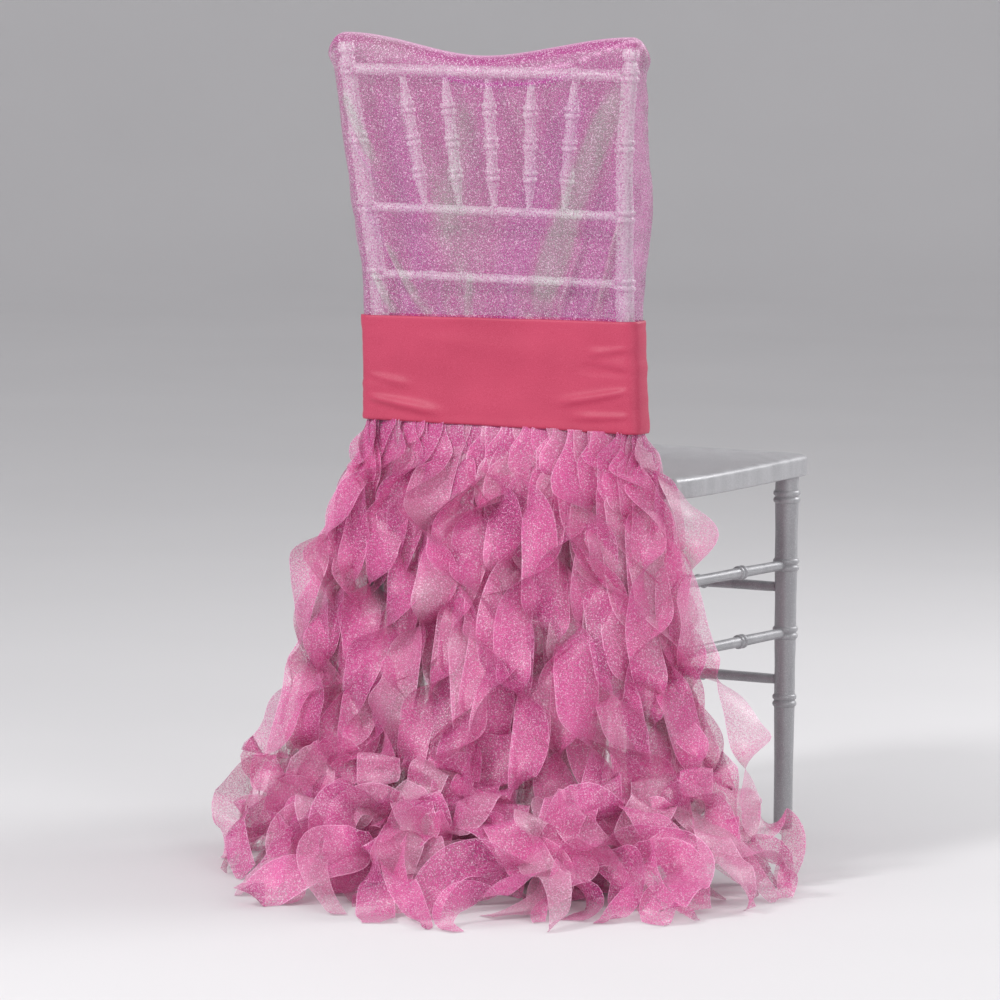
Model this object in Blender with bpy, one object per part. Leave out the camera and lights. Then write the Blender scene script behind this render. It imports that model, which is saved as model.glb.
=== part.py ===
"""Chair back cover on a turned, bamboo-style banquet chair.

A sheer hood hangs over the back posts, a stretch band holds it in, and three rows of spiral-cut strips
fall from tapes behind the band's lower edge and pool on the floor.
X runs across the chair, +Y towards its front, +Z up, in metres.
"""

import math

import bmesh
import bpy
from mathutils import Vector

# Chair, driving sizes
SEAT_TOP = 0.440
SEAT_THICK = 0.024
SEAT_FRONT = 0.362
SEAT_REAR = 0.001
SEAT_HALF = 0.2135
SEAT_FRONT_HALF = 0.2020
SEAT_CORNER = 0.034
SEAT_EDGE = 0.0045
FRONT_LEG_X = 0.183
FRONT_LEG_Y = 0.322
FRONT_LEG_FOOT_RADIUS = 0.0110
FRONT_LEG_TOP_RADIUS = 0.0140
FINIAL_TOP = 0.924
JOINT_GAP = 0.0003

# Rear post centreline: height, half spacing, y
POST_LINE = (
    (0.000, 0.1860, -0.0300),
    (0.220, 0.1720, -0.0230),
    (0.440, 0.1630, -0.0215),
    (0.560, 0.1605, -0.0265),
    (0.658, 0.1613, -0.0359),
    (0.735, 0.1674, -0.0483),
    (0.814, 0.1732, -0.0601),
    (0.892, 0.1824, -0.0667),
    (0.924, 0.1847, -0.0689),
)
POST_FOOT_RADIUS = 0.0112
POST_SEAT_RADIUS = 0.0118
POST_TOP_RADIUS = 0.0090
COLLAR = 0.0015
COLLAR_HALF = 0.0055
POST_COLLARS = (0.125, 0.232, 0.330, 0.575, 0.658, 0.735, 0.814, 0.892)
POST_SIDES = 10
RAIL_SIDES = 8

# Turned knob at a post's top: height and radius
FINIAL = ((0.903, 0.0091), (0.906, 0.0070), (0.909, 0.0074), (0.9125, 0.0096), (0.919, 0.0096), (FINIAL_TOP, 0.0066))
FRONT_LEG_COLLARS = (0.152, 0.232, 0.312, 0.392)
STRETCHER_RADIUS = 0.0062
STRETCHER_COLLARS = (0.30, 0.70)
SIDE_STRETCHERS = ((0.312, "upper"), (0.232, "lower"))
FRONT_STRETCHERS = ((0.285, "upper"), (0.176, "lower"))
REAR_STRETCHER = 0.285

# Name, height and radius of each back rail
RAILS = (("rail_top", 0.892, 0.0068), ("rail_middle", 0.735, 0.0056), ("rail_lower", 0.658, 0.0056))
SPINDLES = 5
SPINDLE_RADIUS = 0.0068
SPINDLE_TIP = 0.0022
SPINDLE_TAPER = 0.24
SPINDLE_PITCH_TOP = 0.0565
SPINDLE_PITCH_LOW = 0.0450
SPINDLE_COLLARS = (0.25, 0.50, 0.75)

# Cloth
CLOTH = 0.0012
HOOD_HEM = 0.5075
HOOD_SIDE = 0.0152
HOOD_WAIST = 0.0163
HOOD_BACK = 0.0052
HOOD_MID_TOP = 0.9095
HOOD_END_TOP = 0.9335
HOOD_CROWN = 0.0140
HOOD_CORNER = 0.013
HOOD_COLUMNS = 13
HOOD_LEVELS = (HOOD_HEM, 0.560, 0.606, 0.628, 0.655, 0.690, 0.740, 0.790, 0.840, 0.875)
CLOTH_OVER_BAND = (0.622, 0.665)
BAND_TOP = 0.6150
BAND_LOW = 0.4920
BAND_SKINS = (0.0021, 0.0009)
BAND_CORNER = 0.014
BAND_COLUMNS = 11
BAND_LEVELS = (BAND_LOW, 0.497, 0.520, 0.548, 0.576, 0.600, BAND_TOP)
TAPE_LOW = 0.4940
TAPE_HIGH = 0.5070

# The hood's front face: height and y
HOOD_FRONT = ((0.500, -0.0055), (0.560, -0.0085), (0.622, -0.0130), (0.660, -0.0080), (0.740, -0.0040),
              (0.820, -0.0260), (0.880, -0.0440), (0.920, -0.0510))

# Strips, with the inner row's value first where a line has three
TAPE_HALF = (0.1280, 0.1560, 0.1560)
ROOT_GAP = 0.0022
STRIP_WIDTH = 0.054
LANE_SHARE = 0.90
ROOT_SHARE = 0.86
STRIP_SEGMENTS = 20
HALF_TURN = 0.118
BACK_COUNTS = (9, 11, 11)
BACK_FAN = (112, 130, 130)
SIDE_TURNS = ((1, "right", (-18, -6, 6)), (-1, "left", (-161, -174, -188)))
SIDE_SPACING = (0.0098, math.radians(10))
FLOOR_CENTRE = (0.060, -0.100)
HANG_REACH = 0.150
HANG_LIMIT = 0.80
TAIL_CLEAR = (0.0006, 0.0160, 0.0360)
TAIL_END = (0.58, 0.79, 1.00)
ROW_SHARE = (0.34, 0.67, 1.00)
WAVE_HEIGHT = 0.034
WAVE_START = 0.090
SWAY = 0.008

# Turn in degrees about the pile's centre, and how far the pile reaches there
PILE_REACH = ((-195, 0.300), (-169, 0.335), (-145, 0.335), (-125, 0.360), (-105, 0.400), (-80, 0.420), (-60, 0.450),
              (-45, 0.435), (-25, 0.400), (-5, 0.370), (10, 0.330))

# Drop below the tape, and the share of the hanging reach that the outer row has there
FLARE = ((0.00, 0.00), (0.04, 0.08), (0.09, 0.27), (0.18, 0.42), (0.28, 0.62), (0.38, 0.84), (0.48, 1.00))

X_AXIS = Vector((1, 0, 0))
Y_AXIS = Vector((0, 1, 0))
Z_AXIS = Vector((0, 0, 1))


def clear_scene():
    for obj in list(bpy.data.objects):
        bpy.data.objects.remove(obj, do_unlink=True)


def make_material(name, colour, roughness, metallic=0.0, alpha=1.0):
    material = bpy.data.materials.new(name)
    material.use_nodes = True
    shader = material.node_tree.nodes["Principled BSDF"]
    shader.inputs["Base Color"].default_value = (*colour, 1.0)
    shader.inputs["Roughness"].default_value = roughness
    shader.inputs["Metallic"].default_value = metallic
    shader.inputs["Alpha"].default_value = alpha
    material.diffuse_color = (*colour, 1.0)
    return material


def add_object(name, mesh_data, material, smooth_angle=35):
    """Turn a closed bmesh into an object with its faces pointing out."""
    bmesh.ops.recalc_face_normals(mesh_data, faces=mesh_data.faces)
    mesh = bpy.data.meshes.new(name)
    mesh_data.to_mesh(mesh)
    mesh_data.free()
    mesh.materials.append(material)
    mesh.shade_smooth()
    mesh.set_sharp_from_angle(angle=math.radians(smooth_angle))
    obj = bpy.data.objects.new(name, mesh)
    bpy.context.scene.collection.objects.link(obj)
    return obj


def interpolate(table, at, column=1):
    """Read a smooth value from a table whose first column rises."""
    rows = [row[0] for row in table]
    if at <= rows[0]:
        return table[0][column]
    if at >= rows[-1]:
        return table[-1][column]
    index = max(i for i, value in enumerate(rows[:-1]) if value <= at)
    before = table[max(index - 1, 0)]
    start = table[index]
    end = table[index + 1]
    after = table[min(index + 2, len(table) - 1)]
    span = end[0] - start[0]
    share = (at - start[0]) / span
    slope_start = (end[column] - before[column]) / (end[0] - before[0]) * span
    slope_end = (after[column] - start[column]) / (after[0] - start[0]) * span
    square = share * share
    cube = square * share
    return ((2 * cube - 3 * square + 1) * start[column] + (cube - 2 * square + share) * slope_start
            + (3 * square - 2 * cube) * end[column] + (cube - square) * slope_end)


def smooth_step(low, high, value):
    share = min(max((value - low) / (high - low), 0.0), 1.0)
    return share * share * (3 - 2 * share)


def post_spread(height):
    return interpolate(POST_LINE, height, 1)


def post_y(height):
    return interpolate(POST_LINE, height, 2)


def post_radius(height):
    if height < SEAT_TOP:
        return POST_FOOT_RADIUS + (POST_SEAT_RADIUS - POST_FOOT_RADIUS) * height / SEAT_TOP
    share = (height - SEAT_TOP) / (FINIAL_TOP - SEAT_TOP)
    return POST_SEAT_RADIUS + (POST_TOP_RADIUS - POST_SEAT_RADIUS) * share


def turned(name, stations, sides, first, second, material):
    """Round piece through stations (centre, radius), with rings spanned by two axes."""
    mesh = bmesh.new()
    rings = []
    for centre, radius in stations:
        ring = []
        for i in range(sides):
            angle = 2 * math.pi * i / sides
            ring.append(mesh.verts.new(centre + radius * (math.cos(angle) * first + math.sin(angle) * second)))
        rings.append(ring)
    for low, high in zip(rings, rings[1:]):
        for i in range(sides):
            j = (i + 1) % sides
            mesh.faces.new((low[i], low[j], high[j], high[i]))
    mesh.faces.new(rings[0][::-1])
    mesh.faces.new(rings[-1])
    return add_object(name, mesh, material)


def with_collars(length, collars, radius_at):
    """Distances and radii along a turned piece that has a raised collar at each given distance."""
    marks = [(0.0, radius_at(0.0))]
    for middle in collars:
        radius = radius_at(middle)
        marks.append((middle - COLLAR_HALF - COLLAR, radius))
        marks.append((middle - COLLAR_HALF, radius + COLLAR))
        marks.append((middle + COLLAR_HALF, radius + COLLAR))
        marks.append((middle + COLLAR_HALF + COLLAR, radius))
    marks.append((length, radius_at(length)))
    return marks


def build_rear_post(name, side, material):
    marks = with_collars(FINIAL[0][0], POST_COLLARS, post_radius)[:-1]
    marks += FINIAL
    marks += [(z, post_radius(z)) for z, _, _ in POST_LINE[1:-2] if all(abs(z - c) > 0.02 for c in POST_COLLARS)]
    marks.sort()
    stations = [(Vector((side * post_spread(z), post_y(z), z)), r) for z, r in marks]
    return turned(name, stations, POST_SIDES, X_AXIS, Y_AXIS, material)


def front_leg_radius(height):
    share = height / (SEAT_TOP - SEAT_THICK)
    return FRONT_LEG_FOOT_RADIUS + (FRONT_LEG_TOP_RADIUS - FRONT_LEG_FOOT_RADIUS) * share


def build_front_leg(name, side, material):
    top = SEAT_TOP - SEAT_THICK - JOINT_GAP
    stations = [(Vector((side * FRONT_LEG_X, FRONT_LEG_Y, z)), r)
                for z, r in with_collars(top, FRONT_LEG_COLLARS, front_leg_radius)]
    return turned(name, stations, POST_SIDES, X_AXIS, Y_AXIS, material)


def spindle_places():
    return [index - (SPINDLES - 1) / 2 for index in range(SPINDLES)]


def build_rail(name, height, radius, material):
    """Rail with a collar at each spindle's place."""
    reach = post_spread(height) - post_radius(height) - COLLAR - 2 * JOINT_GAP
    centre = Vector((0, post_y(height), height))
    pitch = SPINDLE_PITCH_TOP if name == "rail_top" else SPINDLE_PITCH_LOW
    marks = with_collars(2 * reach, [reach + place * pitch for place in spindle_places()], lambda _: radius)
    stations = [(centre + X_AXIS * (d - reach), r) for d, r in marks]
    return turned(name, stations, RAIL_SIDES, Y_AXIS, Z_AXIS, material)


def build_spindle(index, material):
    place = spindle_places()[index]
    _, top_z, top_radius = RAILS[0]
    _, low_z, low_radius = RAILS[1]
    top = Vector((place * SPINDLE_PITCH_TOP, post_y(top_z), top_z))
    low = Vector((place * SPINDLE_PITCH_LOW, post_y(low_z), low_z))
    along = (top - low).normalized()
    start = low + along * (low_radius + COLLAR + 2 * JOINT_GAP)
    end = top - along * (top_radius + COLLAR + 2 * JOINT_GAP)
    length = (end - start).length

    def radius_at(distance):
        from_end = min(distance, length - distance) / (SPINDLE_TAPER * length)
        return SPINDLE_TIP + (SPINDLE_RADIUS - SPINDLE_TIP) * min(from_end, 1.0)

    collars = [share * length for share in SPINDLE_COLLARS]
    across = along.cross(Y_AXIS).normalized()
    back = along.cross(across).normalized()
    stations = [(start + along * d, r) for d, r in with_collars(length, collars, radius_at)]
    return turned(f"spindle_{index + 1}", stations, RAIL_SIDES, across, back, material)


def build_stretcher(name, start, end, material):
    along = (end - start).normalized()
    level = along.cross(Z_AXIS).normalized()
    length = (end - start).length
    collars = [share * length for share in STRETCHER_COLLARS]
    stations = [(start + along * d, r) for d, r in with_collars(length, collars, lambda _: STRETCHER_RADIUS)]
    return turned(name, stations, RAIL_SIDES, level, level.cross(along), material)


def build_stretchers(material):
    for side, word in ((-1, "left"), (1, "right")):
        for height, place in SIDE_STRETCHERS:
            rear = Vector((side * post_spread(height), post_y(height), height))
            front = Vector((side * FRONT_LEG_X, FRONT_LEG_Y, height))
            along = (front - rear).normalized()
            start = rear + along * (post_radius(height) + COLLAR + JOINT_GAP)
            end = front - along * (front_leg_radius(height) + COLLAR + JOINT_GAP)
            build_stretcher(f"stretcher_{place}_{word}", start, end, material)
    for height, place in FRONT_STRETCHERS:
        reach = FRONT_LEG_X - front_leg_radius(height) - 2 * JOINT_GAP
        start = Vector((-reach, FRONT_LEG_Y, height))
        build_stretcher(f"stretcher_{place}_front", start, start + X_AXIS * 2 * reach, material)
    reach = post_spread(REAR_STRETCHER) - post_radius(REAR_STRETCHER) - 3 * JOINT_GAP
    start = Vector((-reach, post_y(REAR_STRETCHER), REAR_STRETCHER))
    build_stretcher("stretcher_rear", start, start + X_AXIS * 2 * reach, material)


def seat_outline():
    """Plan of the seat's right half from the rear middle to the front middle."""
    notch_x = post_spread(SEAT_TOP) - 0.020
    notch_y = post_y(SEAT_TOP) + 0.022
    points = [(notch_x, notch_y), (0.200, notch_y + 0.003), (0.2085, 0.014), (0.2130, 0.050), (SEAT_HALF, 0.110),
              (0.2100, 0.200), (0.2040, 0.290)]
    centre = (SEAT_FRONT_HALF - SEAT_CORNER, SEAT_FRONT - SEAT_CORNER)
    for step in range(5):
        angle = math.radians(step * 22.5)
        points.append((centre[0] + SEAT_CORNER * math.cos(angle), centre[1] + SEAT_CORNER * math.sin(angle)))
    return points


def build_seat(material):
    right = seat_outline()
    outline = right + [(-x, y) for x, y in reversed(right)]
    mesh = bmesh.new()
    bottom = SEAT_TOP - SEAT_THICK
    low_edge = 0.6 * SEAT_EDGE
    levels = ((bottom, low_edge), (bottom + low_edge, 0.0), (SEAT_TOP - SEAT_EDGE, 0.0), (SEAT_TOP, SEAT_EDGE))
    middle_y = (SEAT_FRONT + SEAT_REAR) / 2
    rings = []
    for height, inset in levels:
        ring = []
        for x, y in outline:
            shrink_x = 1 - inset / SEAT_HALF
            shrink_y = 1 - inset / (SEAT_FRONT - middle_y)
            ring.append(mesh.verts.new((x * shrink_x, middle_y + (y - middle_y) * shrink_y, height)))
        rings.append(ring)
    count = len(outline)
    for low, high in zip(rings, rings[1:]):
        for i in range(count):
            j = (i + 1) % count
            mesh.faces.new((low[i], low[j], high[j], high[i]))
    mesh.faces.new(rings[0][::-1])
    mesh.faces.new(rings[-1])
    return add_object("seat", mesh, material)


# Half width, back face and front face of the hood's outside at a height
def hood_side(height):
    waist = post_spread(BAND_LOW) + HOOD_WAIST
    share = smooth_step(*CLOTH_OVER_BAND, height)
    return waist * (1 - share) + (post_spread(height) + HOOD_SIDE) * share


def hood_back(height):
    share = smooth_step(*CLOTH_OVER_BAND, height)
    return post_y(height) - HOOD_WAIST * (1 - share) - (post_radius(height) + HOOD_BACK) * share


def hood_front(height):
    return interpolate(HOOD_FRONT, height)


def hood_ridge(x):
    """Height of the hood's top fold, which sags between the two finials."""
    share = min(abs(x) / post_spread(FINIAL_TOP), 1.15)
    lean = 0.0015 * math.sin(5.0 * x + 1.0)
    return HOOD_MID_TOP + (HOOD_END_TOP - HOOD_MID_TOP) * smooth_step(0.0, 1.0, share) + lean


def hood_fold(x, height, front):
    """How far a soft fold stands out of the panel: none at the hem and the ridge."""
    rise = smooth_step(0.622, 0.67, height) * (1 - smooth_step(0.86, 0.90, height))
    low = smooth_step(0.622, 0.636, height) * (1 - smooth_step(0.66, 0.76, height))
    if front:
        return 0.0050 * rise * (0.5 + 0.5 * math.sin(38 * x + 14 * height))
    slant = math.exp(-((x - 0.115 - 0.42 * (height - 0.70)) / 0.014) ** 2)
    left = math.exp(-((x + 0.125 + 0.30 * (height - 0.70)) / 0.010) ** 2)
    gathers = 0.5 + 0.5 * math.sin(105 * x + 3 * math.sin(17 * x))
    return rise * (0.0050 * slant + 0.0035 * left) + 0.0022 * low * gathers


def section(half_width, back, front, count, corner):
    """Points round a rounded oblong, with the same count on the back and on the front."""
    centre = (back + front) / 2
    depth = (front - back) / 2
    corner = min(corner, depth)
    straight = half_width - corner
    points = []
    for row, face in ((-1, -1), (1, 1)):
        line = []
        for i in range(count):
            share = -1 + 2 * i / (count - 1)
            x = straight * share
            line.append((x, centre + face * depth))
        left = [(-straight - corner * math.sin(a), centre + face * (depth - corner + corner * math.cos(a)))
                for a in (math.radians(78), math.radians(42))]
        right = [(-x, y) for x, y in reversed(left)]
        line = left + line + right
        points += line if row < 0 else line[::-1]
    return points


def build_hood(material):
    mesh = bmesh.new()
    skins = []
    for inset in (0.0, CLOTH):
        rings = []
        for height in HOOD_LEVELS:
            ring = []
            half = hood_side(height) - inset
            back = hood_back(height) + inset
            front = hood_front(height) - inset
            plan = section(half, back, front, HOOD_COLUMNS, HOOD_CORNER)
            size = len(plan) // 2
            for i, (x, y) in enumerate(plan):
                is_front = i >= size
                fold = hood_fold(x, height, is_front)
                ease = 1 - smooth_step(0.86, 1.0, abs(x) / half)
                y += fold * ease if is_front else -fold * ease
                rise = smooth_step(0.80, 0.875, height)
                drop = (hood_ridge(x) - HOOD_END_TOP) * rise * (height - 0.80) / (HOOD_END_TOP - 0.80)
                ring.append(mesh.verts.new((x, y, height + drop)))
            rings.append(ring)
        for share in (0.55, 0.90):
            ring = []
            height = HOOD_END_TOP - HOOD_CROWN * (1 - share) * 1.9
            squeeze = math.sqrt(max(1 - share * share, 0.0))
            middle = (hood_back(height) + hood_front(height)) / 2
            depth = (hood_front(height) - hood_back(height)) / 2
            half = hood_side(height) - inset + 0.004 * share
            back, front = middle - depth * squeeze + inset, middle + depth * squeeze - inset
            plan = section(half, back, front, HOOD_COLUMNS, HOOD_CORNER)
            for x, y in plan:
                top = hood_ridge(x) - HOOD_CROWN * (1 - math.sqrt(max(1 - squeeze * squeeze, 0.0))) * 1.3
                ring.append(mesh.verts.new((x, y, top - inset * (1.3 if share > 0.6 else 1.0))))
            rings.append(ring)
        for low, high in zip(rings, rings[1:]):
            for i in range(len(low)):
                j = (i + 1) % len(low)
                mesh.faces.new((low[i], low[j], high[j], high[i]))
        last = rings[-1]
        half_count = len(last) // 2
        for i in range(half_count - 1):
            mesh.faces.new((last[i], last[i + 1], last[-2 - i], last[-1 - i]))
        skins.append(rings)
    outer, inner = skins[0][0], skins[1][0]
    for i in range(len(outer)):
        j = (i + 1) % len(outer)
        mesh.faces.new((outer[i], outer[j], inner[j], inner[i]))
    return add_object("hood", mesh, material, 60)


def build_band(material):
    """Closed stretch ring, a little bowed out at its lower edge, where the strips push it."""
    mesh = bmesh.new()
    skins = []
    for offset in BAND_SKINS:
        rings = []
        for height in BAND_LEVELS:
            swell = offset + 0.0012 * (1 - smooth_step(0.50, 0.56, height))
            half = hood_side(height) + swell
            back = hood_back(height) - swell
            front = hood_front(height) + swell
            ring = []
            for i, (x, y) in enumerate(section(half, back, front, BAND_COLUMNS, BAND_CORNER)):
                lift = 0.0035 * x / half * smooth_step(0.50, 0.58, height)
                crease = 0.0014 * smooth_step(0.51, 0.53, height) * (1 - smooth_step(0.57, 0.60, height))
                bulge = crease * (0.5 + 0.5 * math.sin(9 * x + 90 * (height - 0.5)))
                ring.append(mesh.verts.new((x, y - bulge if i < BAND_COLUMNS + 4 else y + bulge, height + lift)))
            rings.append(ring)
        for low, high in zip(rings, rings[1:]):
            for i in range(len(low)):
                j = (i + 1) % len(low)
                mesh.faces.new((low[i], low[j], high[j], high[i]))
        skins.append(rings)
    for level in (0, -1):
        outer, inner = skins[0][level], skins[1][level]
        for i in range(len(outer)):
            j = (i + 1) % len(outer)
            mesh.faces.new((outer[i], outer[j], inner[j], inner[i]))
    return add_object("band", mesh, material, 60)


# Strips. A row is 0 for the inner one, 1 for the middle one and 2 for the outer one.
def tape_back(row):
    return hood_back(TAPE_HIGH) + CLOTH / 2 + (2 - row) * ROOT_GAP


def tape_side(row):
    return hood_side(TAPE_HIGH) - CLOTH / 2 - (2 - row) * ROOT_GAP


def back_path(row, share):
    """Point on a back tape for a share from -1 to 1."""
    return Vector((share * TAPE_HALF[row], tape_back(row), 0.0))


def side_path(row, side, share):
    """Point on the tape round a post, from the back at share 0 to the side at share 1."""
    radius = HOOD_WAIST - CLOTH / 2 - (2 - row) * ROOT_GAP
    corner = Vector((tape_side(row) - radius, tape_back(row) + radius, 0.0))
    begin = TAPE_HALF[row] + 0.0020
    first = corner.x - begin
    arc = radius * math.pi / 2
    last = 0.0040
    distance = share * (first + arc + last)
    if distance < first:
        point = Vector((begin + distance, tape_back(row), 0.0))
    elif distance < first + arc:
        angle = (distance - first) / radius
        point = corner + radius * Vector((math.sin(angle), -math.cos(angle), 0.0))
    else:
        point = Vector((tape_side(row), corner.y + distance - first - arc, 0.0))
    point.x *= side
    return point


def floor_end(turn):
    """Where the outer row's strip ends on the floor, for a turn in degrees about the pile's centre."""
    angle = math.radians(turn)
    radius = interpolate(PILE_REACH, turn)
    return Vector((FLOOR_CENTRE[0] + radius * math.cos(angle), FLOOR_CENTRE[1] + radius * math.sin(angle), 0.0))


def hang_reach(turn, reach):
    """How far out the outer row hangs near the floor: the skirt flares unevenly round the chair."""
    return min(HANG_REACH * (1 + 0.12 * math.sin(0.055 * turn)), HANG_LIMIT * reach)


def tail_wave(turn, reach, out):
    """Height of the wave that a middle-row tail makes at a distance out. The outer row's is twice that."""
    length = TAIL_END[1] * reach - WAVE_START
    share = min(max((out - WAVE_START) / length, 0.0), 1.0)
    ripple = 0.65 + 0.35 * math.sin(7 * math.pi * share + turn / 9)
    return WAVE_HEIGHT * min(1.0, length / 0.2) * math.sin(math.pi * share) ** 2 * ripple


def drop_profile(row, turn, reach):
    """Distance out from the tape and height of a strip's middle line, as a smooth line of points."""
    hang = hang_reach(turn, reach) * ROW_SHARE[row]
    base = TAIL_CLEAR[row]
    trim = 1 - 0.07 * (0.5 + 0.5 * math.sin(2.7 * turn)) if row == 2 else 1.0
    end = max(TAIL_END[row] * reach * trim, hang + 0.060)
    points = [(0.0, TAPE_LOW)]
    for drop, share in FLARE[1:-1]:
        points.append((hang * share, TAPE_LOW - drop))
    for out, lift in ((hang * 0.985, 0.050), (hang + 0.010, 0.018), (hang + 0.034, 0.002)):
        points.append((out, base + lift + row * tail_wave(turn, reach, out)))
    tail = end - hang - 0.034
    steps = max(3, round(tail / 0.030))
    free = TAIL_END[row - 1] * reach + 0.012 if row else 0.0
    for i in range(1, steps + 1):
        out = hang + 0.034 + tail * i / steps
        down = 1 - smooth_step(free, free + 0.045, out) if row else 0.0
        wave = row * tail_wave(turn, reach, out) * down
        points.append((out, TAIL_CLEAR[0] + (base - TAIL_CLEAR[0]) * down + wave))
    points[-1] = (points[-1][0], TAIL_CLEAR[0])
    return points


def along_line(points, count):
    """Places evenly spaced along a smooth line, each with its distance and its direction."""
    dense = []
    table_x = [(float(i), point[0]) for i, point in enumerate(points)]
    table_z = [(float(i), point[1]) for i, point in enumerate(points)]
    steps = 12 * (len(points) - 1)
    for i in range(steps + 1):
        at = (len(points) - 1) * i / steps
        dense.append((interpolate(table_x, at), max(interpolate(table_z, at), TAIL_CLEAR[0])))
    lengths = [0.0]
    for a, b in zip(dense, dense[1:]):
        lengths.append(lengths[-1] + math.hypot(b[0] - a[0], b[1] - a[1]))
    places = []
    total = lengths[-1]
    index = 0
    for i in range(count + 1):
        want = total * i / count
        while index < len(lengths) - 2 and lengths[index + 1] < want:
            index += 1
        share = (want - lengths[index]) / (lengths[index + 1] - lengths[index])
        a, b = dense[index], dense[index + 1]
        places.append((a[0] + (b[0] - a[0]) * share, a[1] + (b[1] - a[1]) * share, want))
    return places, total


def strip_phase(row, index):
    return 0.9 * index + 1.9 * row + 0.8 * math.sin(2.3 * index + row)


def strip_sections(row, index, root, along, turn, spacing, count):
    """Corner points of a strip's sections: a ribbon that swings about its own line as it falls."""
    out = floor_end(turn) - root
    reach = out.length
    outward = out.normalized()
    places, total = along_line(drop_profile(row, turn, reach), count)
    end_along = floor_end(turn + 1) - floor_end(turn - 1)
    end_along = end_along.normalized() * math.copysign(interpolate(PILE_REACH, turn) * spacing[1], end_along.dot(along))
    phase = strip_phase(row, index)
    sections = []
    for i in range(1, count + 1):
        distance, height, run = places[i]
        near = places[i - 1]
        far = places[min(i + 1, count)]
        tangent = (outward * (far[0] - near[0]) + Z_AXIS * (far[1] - near[1])).normalized()
        share = min(distance / reach, 1.0)
        across = along * spacing[0] * (1 - share) + end_along * share
        room = across.length
        across.normalize()
        normal = tangent.cross(across).normalized()
        twist = phase + math.pi * run / HALF_TURN
        lobe = math.sqrt(math.cos(twist) ** 2 + 0.12) / math.sqrt(1.12)
        open_out = smooth_step(0.0, 0.09, run)
        full = min(STRIP_WIDTH, LANE_SHARE * room)
        width = full * (ROOT_SHARE + (lobe - ROOT_SHARE) * open_out)
        hanging = smooth_step(0.05, 0.10, height)
        gap = ROOT_GAP + HANG_REACH * 0.33 * distance / (HANG_REACH * ROW_SHARE[row])
        swing = min(0.42, 0.5 * max(gap - 0.004, 0.0) / width) * open_out * hanging
        tilt = swing * math.sin(2 * twist)
        sway = SWAY * math.sin(28 * height + 0.03 * turn) * smooth_step(0.03, 0.14, run) * hanging
        centre = root + outward * distance + Z_AXIS * height + across * sway
        flat = across * math.cos(tilt) + normal * math.sin(tilt)
        thick = normal * math.cos(tilt) - across * math.sin(tilt)
        sections.append([centre + flat * (a * width / 2) + thick * (b * CLOTH / 2)
                         for a, b in ((-1, -1), (1, -1), (1, 1), (-1, 1))])
    return sections


def build_fringe(name, row, path, turns, spacing, first_index, material):
    """A narrow tape with its strips grown out of cells of its lower face."""
    strips = len(turns)
    shares = [0.0]
    cells = []
    for i in range(strips):
        middle = (i + 0.5) / strips
        half = 0.5 * ROOT_SHARE / strips
        cells.append(len(shares))
        shares += [middle - half, middle + half]
    shares.append(1.0)
    mesh = bmesh.new()
    stations = []
    for share in shares:
        point = path(share)
        ahead = path(min(share + 0.01, 1.0)) - path(max(share - 0.01, 0.0))
        out = Vector((ahead.y, -ahead.x, 0.0)).normalized()
        if out.dot(point - Vector((0, 0.05, 0))) < 0:
            out = -out
        corners = []
        for side, height in ((1, TAPE_HIGH), (-1, TAPE_HIGH), (-1, TAPE_LOW), (1, TAPE_LOW)):
            corners.append(mesh.verts.new(point + out * side * CLOTH / 2 + Z_AXIS * height))
        stations.append(corners)
    for i, (a, b) in enumerate(zip(stations, stations[1:])):
        for k in range(4):
            if k == 2 and i in cells:
                continue
            m = (k + 1) % 4
            mesh.faces.new((a[k], a[m], b[m], b[k]))
    mesh.faces.new(stations[0])
    mesh.faces.new(stations[-1][::-1])
    for number, (cell, turn) in enumerate(zip(cells, turns)):
        a, b = stations[cell], stations[cell + 1]
        root = (a[2].co + b[2].co + a[3].co + b[3].co) / 4
        root.z = 0.0
        along = (b[2].co - a[2].co).normalized()
        sections = strip_sections(row, first_index + number, root, along, turn, spacing, STRIP_SEGMENTS)
        previous = [a[2], b[2], b[3], a[3]]
        order = corner_order(previous, sections[0])
        for corners in sections:
            lower = [mesh.verts.new(corners[k]) for k in order]
            add_strip_faces(mesh, previous, lower)
            previous = lower
        mesh.faces.new(previous)
    return add_object(name, mesh, material, 60)


def add_strip_faces(mesh, upper, lower):
    """Walls between two sections. Both broad sides are split along the same diagonal, so they never cross."""
    for k, start, end in ((0, 0, 1), (1, 1, 2), (2, 3, 2), (3, 0, 3)):
        m = (k + 1) % 4
        rest_upper = upper[m] if start == k else upper[k]
        rest_lower = lower[k] if end == m else lower[m]
        mesh.faces.new((upper[start], lower[end], rest_lower))
        mesh.faces.new((upper[start], rest_upper, lower[end]))


def corner_order(root, corners):
    """The order in which a section's four corners lie nearest to the root's four."""
    orders = []
    for turn in ((0, 1, 2, 3), (3, 2, 1, 0)):
        for shift in range(4):
            orders.append(turn[shift:] + turn[:shift])
    return min(orders, key=lambda order: sum((a.co - corners[k]).length for a, k in zip(root, order)))


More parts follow.
